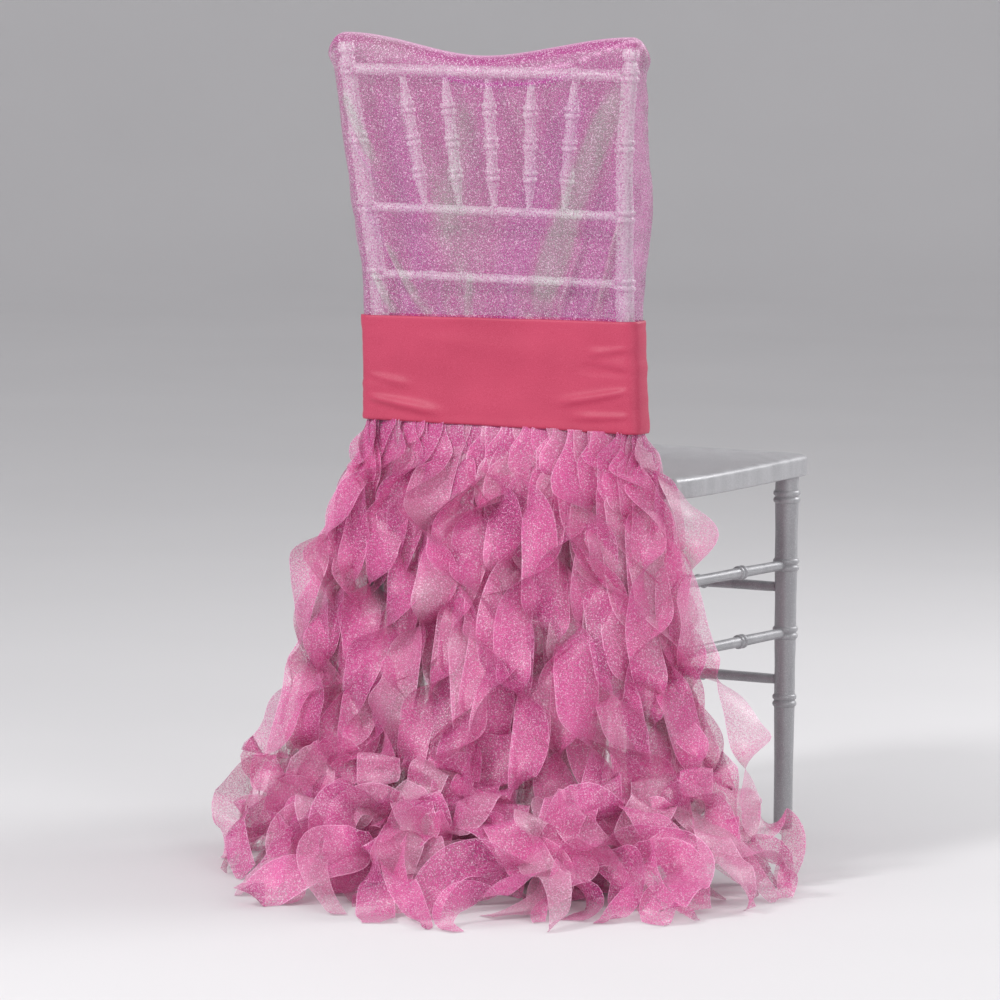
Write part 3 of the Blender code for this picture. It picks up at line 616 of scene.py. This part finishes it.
def build_seat(paint):
    """Board seat with a rounded edge and a faintly dished top."""
    right = seat_outline()
    front, notch = right[-1], right[0]
    shares = [1 - 2 * i / 24 for i in range(1, 24)]
    level = [(front[0] * share, front[1]) for share in shares]
    back = [(-notch[0] * share, notch[1]) for share in shares]
    outline = right + level + [(-x, y) for x, y in reversed(right)] + back
    middle_y = (SEAT_FRONT + SEAT_REAR) / 2
    bottom = SEAT_TOP - SEAT_THICK
    levels = [(bottom, 0.05), (bottom, 0.0034)]
    for a in (0.5, 1.0, pi / 2):
        levels.append((bottom + SEAT_EDGE_LOW * (1 - cos(a)), SEAT_EDGE_LOW * (1 - sin(a))))
    for step in range(7):
        a = pi / 2 * step / 6
        height = SEAT_TOP - SEAT_EDGE_TOP + SEAT_EDGE_TOP * sin(a)
        levels.append((height, SEAT_EDGE_TOP * (1 - cos(a))))
    levels += [(SEAT_TOP - drop, inset) for drop, inset in SEAT_DISH]
    mesh = bmesh.new()
    rings = []
    for height, inset in levels:
        shrink_x = 1 - inset / SEAT_HALF
        shrink_y = 1 - inset / (SEAT_FRONT - middle_y)
        rings.append([mesh.verts.new((x * shrink_x, middle_y + (y - middle_y) * shrink_y, height))
                      for x, y in outline])
    close_body(mesh, rings)
    finish_piece("seat_board", mesh, paint, "silver_paint", "seat", smooth=50)


# Hood and band
def hood_side(height):
    waist = post_spread(BAND_LOW) + HOOD_WAIST
    return mix(waist, post_spread(height) + HOOD_SIDE, smooth_step(*HOOD_FREE, height))


def hood_back(height):
    share = smooth_step(*HOOD_FREE, height)
    return post_y(height) - HOOD_WAIST * (1 - share) - (post_radius(height) + HOOD_BACK) * share


def hood_front(height):
    return interpolate(HOOD_FRONT, height)


def hood_ridge(x):
    """Height of the hood's top fold, which sags between the two finials."""
    from_middle = abs(x) / post_spread(FINIAL_TOP)
    share = min(from_middle, 1.15)
    lean = 0.0015 * sin(5.0 * x + 1.0) + 0.0008 * sin(31 * x) * (1 - share * 0.8)
    ear = 0.009 * smooth_step(1.01, 1.12, from_middle)
    return HOOD_MID_TOP + (HOOD_END_TOP - HOOD_MID_TOP) * smooth_step(0.0, 1.0, share) + lean - ear


def section(half_width, back, front, count, corner, steps=9):
    """Points (x, y, is_front) round a rounded oblong, with the same count on the back and the front."""
    centre = (back + front) / 2
    depth = (front - back) / 2
    corner = min(corner, abs(depth))
    straight = half_width - corner
    points = []
    for face in (-1, 1):
        bends = []
        for k in range(1, steps):
            a = pi / 2 * k / steps
            rise = depth - corner + corner * cos(a)
            bends.append((straight + corner * sin(a), centre + face * rise))
        line = [(-x, y) for x, y in reversed(bends)]
        line += [(straight * (-1 + 2 * i / (count - 1)), centre + face * depth) for i in range(count)]
        line += bends
        if face < 0:
            line = [(-half_width, centre)] + line + [(half_width, centre)]
        else:
            line = line[::-1]
        points += [(x, y, face > 0) for x, y in line]
    return points


def crease(x, height, start, end, width, depth):
    """A soft fold along a line in the panel, strongest in its middle."""
    line = Vector((end[0] - start[0], end[1] - start[1]))
    length = line.length
    line.normalize()
    off = Vector((x - start[0], height - start[1]))
    along = off.dot(line) / length
    away = off.x * line.y - off.y * line.x
    fade = smooth_step(-0.08, 0.22, along) * (1 - smooth_step(0.72, 1.12, along))
    return depth * bell(away, width * (0.7 + 0.6 * along)) * fade


# Folds in the hood's panels: start and end (x, height), width, depth, and painted light towards silver where
# positive and painted shade towards deep pink where negative
BACK_CREASES = (
    ((-0.182, 0.866), (-0.142, 0.782), 0.0042, 0.0085, 0.7),
    ((-0.172, 0.815), (-0.138, 0.762), 0.004, 0.0075, -1.0),
    ((-0.146, 0.705), (-0.086, 0.612), 0.0045, 0.009, 0.8),
    ((-0.16, 0.735), (-0.104, 0.61), 0.005, -0.005, -1.2),
    ((-0.16, 0.665), (-0.13, 0.612), 0.0045, 0.008, 0.8),
    ((0.176, 0.88), (0.05, 0.612), 0.021, 0.01, 1.5),
    ((0.12, 0.86), (0.01, 0.65), 0.018, -0.005, -1.3),
    ((0.15, 0.76), (0.09, 0.612), 0.01, -0.005, -1.2),
    ((0.172, 0.735), (0.13, 0.612), 0.0048, 0.0085, 0.8),
    ((0.124, 0.71), (0.08, 0.612), 0.0045, 0.0075, 0.8),
    ((0.15, 0.69), (0.112, 0.612), 0.004, 0.006, -0.6),
    ((0.03, 0.675), (0.02, 0.61), 0.005, 0.0055, -0.6),
    ((-0.03, 0.665), (-0.036, 0.61), 0.005, 0.0055, 0.5),
    ((-0.064, 0.655), (-0.072, 0.61), 0.0045, 0.005, -0.6),
    ((-0.12, 0.89), (-0.08, 0.64), 0.02, 0.0045, -0.7),
    ((-0.02, 0.87), (-0.06, 0.68), 0.022, 0.004, 0.4),
)
FRONT_CREASES = (
    ((-0.15, 0.9), (-0.06, 0.64), 0.012, 0.008, 0.6),
    ((0.14, 0.9), (0.03, 0.64), 0.013, 0.009, -0.7),
    ((0.01, 0.88), (0.09, 0.64), 0.011, -0.007, 0.6),
    ((-0.02, 0.84), (-0.11, 0.62), 0.01, -0.007, -0.5),
    ((0.15, 0.74), (0.11, 0.612), 0.007, 0.006, 0.4),
    ((-0.15, 0.76), (-0.12, 0.612), 0.007, 0.006, -0.4),
)


def fold_light_and_shade(x, height, is_front):
    """Painted light and shade at a place, from the folds that cross it: silver as painted light where a
    fold's value is positive, deep pink as painted shade where it is negative.
    """
    total = 0.0
    for start, end, width, _, light_and_shade in FRONT_CREASES if is_front else BACK_CREASES:
        total += light_and_shade * crease(x, height, start, end, width * 0.9, 1.0)
    return total


def fold_line(x, height, is_front):
    """Light that the crest of a sharp fold catches at a place."""
    total = 0.0
    for start, end, width, depth, _ in FRONT_CREASES if is_front else BACK_CREASES:
        if width < 0.006 and depth > 0:
            total += 0.28 * crease(x, height, start, end, 0.0026, 1.0)
    return total


# Lines on the hood's back panel: its turned-in edge at the right, and the line that sags under the top rail,
# where a seam allowance lies double and a painted shadow darkens the cloth
TURNED_EDGE = ((0.06, 0.896), (0.073, 0.8975), (0.11, 0.904), (0.151, 0.917), (0.185, 0.93))
SAG_SEAM_AND_SHADOW = ((-0.055, 0.887), (0.000, 0.8795), (0.06, 0.8815), (0.11, 0.8905))


def hood_offset(x, height, is_front):
    """How far the panel stands out at a place: creases, gathers over the band and a slack drift."""
    panel = smooth_step(0.617, 0.64, height) * (1 - smooth_step(0.895, 0.925, height))
    low = smooth_step(0.616, 0.622, height) * (1 - smooth_step(0.64, 0.7, height))
    total = 0.0
    for start, end, width, depth, _ in FRONT_CREASES if is_front else BACK_CREASES:
        total += crease(x, height, start, end, width, depth)
    seed = 7.0 if is_front else 2.0
    total += 0.003 * waver(x * 9, height * 7, seed)
    gathers = waver(x * 55, height * 6, seed + 5)
    total = panel * total + 0.0052 * low * gathers
    over_post = smooth_step(0.026, 0.014, post_spread(height) - abs(x))
    return max(total, mix(-0.0055, -0.0015, over_post))


def hood_values(mesh):
    """Each point's light edge, its change of colour and where the cloth lies double. The light edge marks
    denser seams and fold crests and paints a highlight on them; the change of colour is random drift with
    painted light and shade at the folds and a painted shadow under the top rail.
    """
    density_and_highlights, tones, plies = [], [], []
    for vertex in mesh.verts:
        x, y, z = vertex.co
        is_front = y >= (hood_back(z) + hood_front(z)) / 2
        turned_edge, seam_and_shadow = 0.0, 0.0
        if not is_front:
            turned_edge = bell(z - interpolate(TURNED_EDGE, x), 0.0011) * smooth_step(0.06, 0.08, x)
            seam_and_shadow = bell(z - interpolate(SAG_SEAM_AND_SHADOW, x), 0.0022) * smooth_step(-0.06, -0.03, x)
            seam_and_shadow *= 1 - smooth_step(0.09, 0.12, x)
        seam = bell(z - hood_ridge(x), 0.0022)
        side_seam = bell(abs(x) - hood_side(z), 0.0016) * 0.6
        folds = fold_line(x, z, is_front)
        density_and_highlights.append(min(1.0, seam + side_seam + 0.8 * turned_edge + folds))
        # Random drift, plus painted light and shade from the folds
        drift = 0.5 * waver(x * 7, y * 7, z * 3) + fold_light_and_shade(x, z, is_front)
        # Painted shadow: the colour darkens along the line under the top rail, where the cloth also lies
        # double
        tones.append(0.5 + drift - 2.4 * seam_and_shadow)
        turned_in = smooth_step(0.013, 0.009, hood_ridge(x) - z)
        at_side = smooth_step(0.012, 0.003, hood_side(z) - abs(x))
        plies.append(turned_in - 0.65 * at_side + 1.2 * seam_and_shadow)
    return ("edge", density_and_highlights), ("tone", tones), ("ply", plies)


def build_hood(material):
    levels = [HOOD_HEM, 0.53, 0.555, 0.58, 0.6, 0.61]
    panel_steps = int((HOOD_FOLD - HOOD_PANEL_LOW) / HOOD_STEP)
    levels += [HOOD_PANEL_LOW + HOOD_STEP * i for i in range(panel_steps + 1)]
    levels += [HOOD_FOLD + (HOOD_END_TOP - HOOD_FOLD) * (1 - (1 - i / 10) ** 1.6) for i in range(11)]
    mesh = bmesh.new()
    rings = []
    for height in levels:
        share = min(max(1 - (HOOD_END_TOP - height) / HOOD_FOLD_DEPTH, 0.0), 1.0)
        squeeze = sqrt(max(1 - share * share, 0.0))
        half = hood_side(height) + 0.007 * smooth_step(0.895, 0.92, height) - 0.01 * share ** 4
        middle = (hood_back(height) + hood_front(height)) / 2
        depth = max((hood_front(height) - hood_back(height)) / 2 * squeeze, 0.0006)
        rise = smooth_step(0.8, 0.875, height)
        slow = 0.0026 * smooth_step(0.63, 0.66, height)
        quick = 0.0036 * smooth_step(0.63, 0.68, height)
        ring = []
        for x, y, is_front in section(half, middle - depth, middle + depth, HOOD_COLUMNS, 0.013):
            ease = 1 - smooth_step(0.9, 1.0, abs(x) / half)
            y += hood_offset(x, height, is_front) * ease * squeeze * (1 if is_front else -1)
            drop = (hood_ridge(x) - HOOD_END_TOP) * rise * (height - 0.8) / (HOOD_END_TOP - 0.8)
            ripple = slow * waver(x * 16, y * 20, height * 22)
            ripple += quick * waver(3.0 * x, y * 130, height * 9)
            edge = smooth_step(0.92, 1.0, abs(x) / half)
            ring.append(mesh.verts.new((x + copysign(ripple * edge, x), y, height + drop)))
        rings.append(ring)
    join_rings(mesh, rings)
    # The last ring is sewn shut along the ridge
    last = rings[-1]
    size = len(last)
    for i in range(1, size // 2 - 1):
        mesh.faces.new((last[i], last[i + 1], last[size - 1 - i], last[size - i]))
    bmesh.ops.recalc_face_normals(mesh, faces=mesh.faces)
    piece = finish_piece("sheer_hood", mesh, material, "pink_organza", "hood", smooth=0,
                         attributes=hood_values(mesh))
    piece.visible_shadow = False


# Folds in the band's back: start and end (x, height), width, depth
BAND_CREASES = (
    ((-0.176, 0.52), (-0.07, 0.504), 0.0055, 0.005),
    ((-0.176, 0.548), (-0.11, 0.534), 0.005, 0.0028),
    ((0.178, 0.54), (0.08, 0.522), 0.004, 0.0042),
    ((0.178, 0.556), (0.11, 0.562), 0.0035, -0.0034),
    ((0.178, 0.585), (0.12, 0.578), 0.004, 0.003),
    ((0.178, 0.512), (0.1, 0.508), 0.0035, 0.003),
    ((-0.1, 0.59), (0.08, 0.575), 0.012, 0.0014),
)


def band_offset(x, height, is_front, half):
    """Creases that fan out of the band's ends, where it is pulled round the posts."""
    total = 0.0009 * waver(x * 12, height * 25, 3.0)
    for side in (-1, 1):
        away = half - side * x
        reach = 1 - smooth_step(0.0, 0.085 if side > 0 else 0.06, away)
        fan = waver(side * 4.0, (height - 0.545) * 60 / (1 + 7 * away) + 3 * side, 1.5)
        total += 0.0048 * reach * fan
    if not is_front:
        for fold in BAND_CREASES:
            total += crease(x, height, *fold)
    total *= smooth_step(BAND_LOW, 0.502, height) * (1 - smooth_step(0.603, BAND_TOP, height))
    return max(total, -0.0007)


def build_band(material):
    """Closed ring of two skins, with thicker rims."""
    mesh = bmesh.new()
    rings = []
    places = [(step, True) for step in range(BAND_STEPS + 1)]
    places += [(step, False) for step in range(BAND_STEPS, -1, -1)]
    for step, is_outer in places:
        height = mix(BAND_LOW, BAND_TOP, step / BAND_STEPS)
        roll = min(step, BAND_STEPS - step)
        offset = BAND_SKINS[0] if is_outer else BAND_SKINS[1]
        offset += BAND_RIM[roll] if roll < len(BAND_RIM) and is_outer else 0.0
        swell = offset + 0.0012 * (1 - smooth_step(0.5, 0.56, height))
        half = hood_side(height) + swell
        back = hood_back(height) - swell
        front = hood_front(height) + swell
        ring = []
        for x, y, is_front in section(half, back, front, BAND_COLUMNS, 0.014):
            lift = 0.0035 * x / half * smooth_step(0.5, 0.58, height)
            lift += 0.0008 * waver(x * 14, 0.0, height * 3)
            push = band_offset(x, height, is_front, half)
            bow = smooth_step(0.86, 1.0, abs(x) / half)
            y += push * (1 - bow) * (1 if is_front else -1)
            ring.append(mesh.verts.new((x + copysign(push * bow * 0.6, x), y, height + lift)))
        rings.append(ring)
    join_rings(mesh, rings + rings[:1])
    bmesh.ops.recalc_face_normals(mesh, faces=mesh.faces)
    piece = finish_piece("stretch_band", mesh, material, "rose_satin", "band", smooth=0)


# Strips
def tape_back(row):
    return hood_back(TAPE_HIGH) + 0.0006 + (2 - row) * ROOT_GAP


def tape_side(row):
    return hood_side(TAPE_HIGH) - 0.0006 - (2 - row) * ROOT_GAP


def back_path(row, share):
    return Vector(((2 * share - 1) * TAPE_HALF[row], tape_back(row), 0.0))


def side_path(row, side, share):
    """Point on the tape round a post, from the back at share 0 to the side at share 1."""
    radius = HOOD_WAIST - 0.0006 - (2 - row) * ROOT_GAP
    corner = Vector((tape_side(row) - radius, tape_back(row) + radius, 0.0))
    begin = TAPE_HALF[row] + 0.002
    first = corner.x - begin
    arc = radius * pi / 2
    distance = share * (first + arc + 0.004)
    if distance < first:
        point = Vector((begin + distance, tape_back(row), 0.0))
    elif distance < first + arc:
        angle = (distance - first) / radius
        point = corner + radius * Vector((sin(angle), -cos(angle), 0.0))
    else:
        point = Vector((tape_side(row), corner.y + distance - first - arc, 0.0))
    point.x *= side
    return point


def floor_end(turn):
    angle = radians(turn)
    radius = interpolate(PILE_REACH, turn)
    centre_x, centre_y = FLOOR_CENTRE
    return Vector((centre_x + radius * cos(angle), centre_y + radius * sin(angle), 0.0))


def inside_pile(point):
    """The same point, or the nearest one within the pile's outline on the floor."""
    off = Vector((point.x - FLOOR_CENTRE[0], point.y - FLOOR_CENTRE[1], 0.0))
    turn = degrees(atan2(off.y, off.x))
    if turn > 90:
        turn -= 360
    limit = PILE_SHARE * interpolate(PILE_REACH, turn)
    if off.length <= limit:
        return point
    return point - off * (1 - limit / off.length)


def hang_reach(turn, reach):
    return min(HANG_REACH * (1 + 0.12 * sin(0.055 * turn)), HANG_LIMIT * reach)


def tail_wave(turn, reach, out):
    length = TAIL_END[1] * reach - WAVE_START
    share = min(max((out - WAVE_START) / length, 0.0), 1.0)
    ripple = 0.65 + 0.35 * sin(7 * pi * share + turn / 9)
    return WAVE_HEIGHT * min(1.0, length / 0.2) * sin(pi * share) ** 2 * ripple


def drop_profile(row, turn, reach, landing):
    """Distance out from the tape and height of a strip's middle line."""
    hang = hang_reach(turn, reach) * ROW_SHARE[row] * landing
    base = TAIL_CLEAR[row]
    trim = 1 - 0.07 * (0.5 + 0.5 * sin(2.7 * turn)) if row == 2 else 1.0
    end = max(TAIL_END[row] * reach * trim, hang + 0.06)
    points = [(0.0, TAPE_LOW)]
    for drop, share in FLARE:
        points.append((hang * share, TAPE_LOW - drop))
    for out, lift in ((hang * 0.985, 0.05), (hang + 0.01, 0.018), (hang + 0.034, 0.002)):
        points.append((out, base + lift + row * tail_wave(turn, reach, out)))
    tail = end - hang - 0.034
    steps = max(3, round(tail / 0.03))
    free = TAIL_END[row - 1] * reach + 0.012 if row else 0.0
    for i in range(1, steps + 1):
        out = hang + 0.034 + tail * i / steps
        down = 1 - smooth_step(free, free + 0.045, out) if row else 0.0
        wave = row * tail_wave(turn, reach, out) * down
        points.append((out, TAIL_CLEAR[0] + (base - TAIL_CLEAR[0]) * down + wave))
    points[-1] = (points[-1][0], TAIL_CLEAR[0])
    return points


def along_line(points, step):
    """Places evenly spaced along a smooth line: distance out, height and run."""
    table_x = [(float(i), point[0]) for i, point in enumerate(points)]
    table_z = [(float(i), point[1]) for i, point in enumerate(points)]
    steps = 20 * (len(points) - 1)
    dense = []
    for i in range(steps + 1):
        at = (len(points) - 1) * i / steps
        dense.append((interpolate(table_x, at), max(interpolate(table_z, at), TAIL_CLEAR[0])))
    runs = [0.0]
    for a, b in zip(dense, dense[1:]):
        runs.append(runs[-1] + hypot(b[0] - a[0], b[1] - a[1]))
    count = round(runs[-1] / step)
    places = []
    index = 0
    for i in range(count + 1):
        want = runs[-1] * i / count
        while index < len(runs) - 2 and runs[index + 1] < want:
            index += 1
        share = (want - runs[index]) / (runs[index + 1] - runs[index])
        a, b = dense[index], dense[index + 1]
        places.append((mix(a[0], b[0], share), mix(a[1], b[1], share), want))
    return places


def draw_strip(draw):
    """One strip's own values, drawn in the table's order."""
    values = {}
    for name, choices in STRIP_DRAWS.items():
        values[name] = draw.choice(choices) if isinstance(choices, list) else draw.uniform(*choices)
    return SimpleNamespace(**values)


def wander(own, run, pace, layer):
    """Slow drift along a strip, from -1 to 1; each use has a layer of its own."""
    return waver(run * pace, own.seed, layer)


def strip_axis(row, root, along, turn, own):
    """The line that a strip winds round, and at each point its run, side, hang and run on the floor."""
    out = floor_end(turn) - root
    reach = out.length
    outward = out.normalized()
    places = along_line(drop_profile(row, turn, reach, own.landing), STRIP_STEP)
    total = places[-1][2]
    end_along = floor_end(turn + 1) - floor_end(turn - 1)
    end_along = end_along.normalized() * copysign(1.0, end_along.dot(along))
    swing = own.swing * own.swing_side
    axis, frames = [], []
    floor_run = 0.0
    for distance, height, run in places:
        share = min(distance / reach, 1.0)
        side = along * (1 - share) + end_along * share
        side = (side - outward * side.dot(outward)).normalized()
        hanging = smooth_step(0.02, 0.09, height - TAIL_CLEAR[row])
        floor_run += STRIP_STEP * (1 - hanging)
        loose = smooth_step(0.03, 0.16, run)
        ending = min(1.0, (total - run) / 0.05)
        meander = MEANDER * wander(own, run, 6.5, 5.1) * loose
        billow = own.billow * smooth_step(0.3, 0.12, height)
        depth = (DEPTH_DRIFT * wander(own, run, 8, 9.7) + billow) * loose
        on_floor = smooth_step(0.0, 0.09, floor_run)
        bend = swing * sin(2 * pi * floor_run / own.swing_length + own.swing_start) * on_floor
        bend += FLOOR_BEND * wander(own, run, 7.5, 2.2) * on_floor
        lift = FLOOR_LIFT * abs(wander(own, run, 9, 4.4)) * (1 - hanging) * ending
        place = root + outward * (distance * mix(1.0, own.reach, share) + max(depth, -0.005) * hanging)
        axis.append(inside_pile(place + side * (meander + bend) + Z_AXIS * (height + lift)))
        frames.append((run, side, hanging, floor_run))
    return axis, frames, outward


def add_strip(mesh, row, root, along, turn, lane, draw, density_and_highlights, tones):
    """One spiral-cut strip: its inner edge hangs down a line, and its outer edge winds round it."""
    own = draw_strip(draw)
    half_turn = HALF_TURN * own.turn_length
    root_width = min(own.root_width * lane, own.width)
    end_width, end_length = own.end
    axis, frames, outward = strip_axis(row, root, along, turn, own)
    total = frames[-1][0]
    rows = []
    area = 0.0
    for i, (run, side, hanging, floor_run) in enumerate(frames):
        tangent = (axis[min(i + 1, len(axis) - 1)] - axis[max(i - 1, 0)]).normalized()
        across = (side - tangent * side.dot(tangent)).normalized()
        normal = tangent.cross(across).normalized()
        if normal.dot(outward) + normal.z < 0:
            normal = -normal
        open_out = smooth_step(0.0, own.begin, run)
        drift = wander(own, run, 7, 0.3)
        winding = max(run - own.late - 0.35 * floor_run, 0.0)
        twist = own.phase * smooth_step(0.0, 0.11, run) + own.hand * pi * winding / half_turn
        twist += drift * open_out
        twist -= own.stiff * sin(2 * twist)
        cosine, sine = cos(twist) * own.start_side, sin(twist)
        lifted = own.stand * sqrt(sine * sine + 0.006)
        inward = 0.8 * sine if sine > 0 else 0.45 * sine
        lean = mix(lifted, inward, hanging) * smooth_step(0.01, 0.13, run)
        flat = across * (cosine + 0.0001) + normal * lean
        freed = smooth_step(0.03, 0.15, run)
        flat = flat.normalized() * mix(min(1.0, flat.length + 0.15), 1.0, freed)
        face = tangent.cross(flat).normalized()
        taper = min(1.0, end_width + (1 - end_width) * (total - run) / end_length)
        width = mix(root_width, own.width, open_out) * taper
        inner = mix(0.5, 0.26, open_out)
        ruffle_turn = 2 * pi * run / own.ruffle_length + own.seed
        line = []
        for k, u in enumerate(STRIP_COLUMNS):
            bow = own.cup * width * (4 * (u - 0.5) ** 2 - 1) * open_out
            wave = own.ruffle * u ** 1.5 * sin(ruffle_turn) * open_out
            point = axis[i] + flat * (u - inner) * width + face * (bow + wave)
            point.z = max(point.z, FLOOR_SKIN + 0.0002 * k)
            line.append(mesh.verts.new(point))
            # Hems: denser cloth with a painted highlight
            density_and_highlights.append(1.0 if u in (0.0, 1.0) else 0.0)
            tones.append(own.tone + 0.5 * drift - 0.12 * u)
        if rows:
            area += width * STRIP_STEP
        rows.append(line)
    for a, b in zip(rows, rows[1:]):
        for k in range(len(STRIP_COLUMNS) - 1):
            mesh.faces.new((a[k], a[k + 1], b[k + 1], b[k]))
    return area, total


def add_tape(mesh, path, density_and_highlights, tones):
    """The narrow tape that a row's strips are sewn to."""
    rows = []
    for i in range(41):
        point = path(i / 40)
        heights = [mix(TAPE_LOW - 0.003, TAPE_HIGH, k / 3) for k in range(4)]
        rows.append([mesh.verts.new(point + Z_AXIS * height) for height in heights])
        # The tape: denser cloth with a faint painted highlight
        density_and_highlights += [0.4] * 4
        tones += [0.5] * 4
    for a, b in zip(rows, rows[1:]):
        for k in range(3):
            mesh.faces.new((a[k], b[k], b[k + 1], a[k + 1]))


def build_fringe(name, row, path, turns, lane, seed, material):
    """One row's strips on one tape, as a single piece."""
    mesh = bmesh.new()
    draw = random.Random(seed)
    density_and_highlights, tones = [], []
    total_area, lengths = 0.0, []
    add_tape(mesh, path, density_and_highlights, tones)
    strips = len(turns)
    spread = (turns[-1] - turns[0]) / (strips - 1)
    half = 0.5 * ROOT_SHARE / strips
    for number, turn in enumerate(turns):
        middle = (number + 0.5) / strips
        along = (path(middle + half) - path(middle - half)).normalized()
        for twin in range(STRIPS_AT_ROOT):
            aside = (twin + 0.5) / STRIPS_AT_ROOT - 0.5
            root = path(middle + aside * half)
            own_turn = turn + aside * spread + draw.uniform(-TURN_JITTER, TURN_JITTER)
            area, length = add_strip(mesh, row, root, along, own_turn, lane, draw, density_and_highlights, tones)
            total_area += area
            lengths.append(length)
    piece = finish_piece(f"curls_{name}", mesh, material, "pink_organza", f"fringe_{name}", smooth=0,
                         attributes=(("edge", density_and_highlights), ("tone", tones)))
    length = sum(lengths) / len(lengths)


def build_fringes(material):
    for row, word in enumerate(("inner", "middle", "outer")):
        count, fan = BACK_COUNTS[row], BACK_FAN[row]
        turns = [-90 - fan / 2 + fan * (i + 0.5) / count for i in range(count)]
        build_fringe(f"{word}_back", row, lambda share, r=row: back_path(r, share), turns,
                     2 * TAPE_HALF[row] / count, 11 + row, material)
        if row == 0:
            continue
        for side, side_word, side_turns in SIDE_TURNS:
            build_fringe(f"{word}_{side_word}", row, lambda share, r=row, s=side: side_path(r, s, share),
                         side_turns, SIDE_LANE, 31 + 3 * row + side, material)


# Stage, light and camera
def build_stage():
    """Floor that curves up into a round wall, so that every view has a plain background."""
    profile = [(STAGE_FLAT * 0.5, 0.0), (STAGE_FLAT, 0.0)]
    for k in range(1, 11):
        a = pi / 2 * k / 10
        profile.append((STAGE_FLAT + STAGE_CORNER * sin(a), STAGE_CORNER * (1 - cos(a))))
    profile.append((STAGE_FLAT + STAGE_CORNER, STAGE_WALL))
    mesh = bmesh.new()
    centre = mesh.verts.new((0.0, 0.0, 0.0))
    angles = [2 * pi * i / STAGE_SIDES for i in range(STAGE_SIDES)]
    rings = []
    for radius, height in profile:
        rings.append([mesh.verts.new((radius * cos(a), radius * sin(a), height)) for a in angles])
    for i in range(STAGE_SIDES):
        mesh.faces.new((centre, rings[0][i], rings[0][(i + 1) % STAGE_SIDES]))
    join_rings(mesh, rings[::-1])
    add_mesh("studio_floor", mesh, plain_floor())
    world = bpy.data.worlds.new("studio_world")
    world.use_nodes = True
    background = world.node_tree.nodes["Background"]
    background.inputs["Color"].default_value = WORLD_COLOUR
    background.inputs["Strength"].default_value = WORLD_STRENGTH
    bpy.context.scene.world = world


def build_lights():
    for name, place, aim, size, power in LIGHTS:
        light = bpy.data.lights.new(name, "AREA")
        light.shape = "DISK"
        light.size = size
        light.energy = power
        lamp = add_object(name, light)
        lamp.location = place
        lamp.rotation_euler = (Vector(aim) - Vector(place)).to_track_quat("-Z", "Y").to_euler()


def build_camera():
    azimuth, pitch, roll = CAMERA_TURNS
    ahead = Vector((-sin(azimuth), cos(azimuth), 0.0))
    right = Vector((cos(azimuth), sin(azimuth), 0.0))
    forward = ahead * cos(pitch) - Z_AXIS * sin(pitch)
    up = ahead * sin(pitch) + Z_AXIS * cos(pitch)
    side = right * cos(roll) + up * sin(roll)
    top = up * cos(roll) - right * sin(roll)
    data = bpy.data.cameras.new("photo_camera")
    data.sensor_width = 36.0
    data.sensor_fit = "HORIZONTAL"
    data.lens = CAMERA_LENS
    data.clip_end = CAMERA_FAR
    camera = add_object("photo_camera", data)
    place = Vector(CAMERA_PLACE) + SHIFT
    turn = Matrix((side, top, -forward)).transposed().to_4x4()
    camera.matrix_world = Matrix.Translation(place) @ turn
    bpy.context.scene.camera = camera


def main():
    scene = bpy.context.scene
    scene.cycles.transparent_max_bounces = 64
    scene.view_settings.view_transform = "Standard"
    build_camera()
    build_stage()
    build_lights()
    paint = silver_paint()
    build_uprights(paint)
    build_rails(paint)
    build_spindles(paint)
    build_stretchers(paint)
    build_seat(paint)
    hood_cloth = organza("hood_organza", bright=(0.37, 0.03, 0.2), deep=(0.36, 0.004, 0.22),
                         silver=(0.27, 0.24, 0.21), alpha=0.52, silver_share=0.02, sheen=0.04, weave=520.0)
    strip_cloth = organza("strip_organza", bright=(0.8, 0.11, 0.38), deep=(0.5, 0.03, 0.22),
                          silver=(0.64, 0.33, 0.44), alpha=0.55, silver_share=0.05, sheen=0.12, weave=500.0)
    build_hood(hood_cloth)
    build_band(rose_satin())
    build_fringes(strip_cloth)


main()
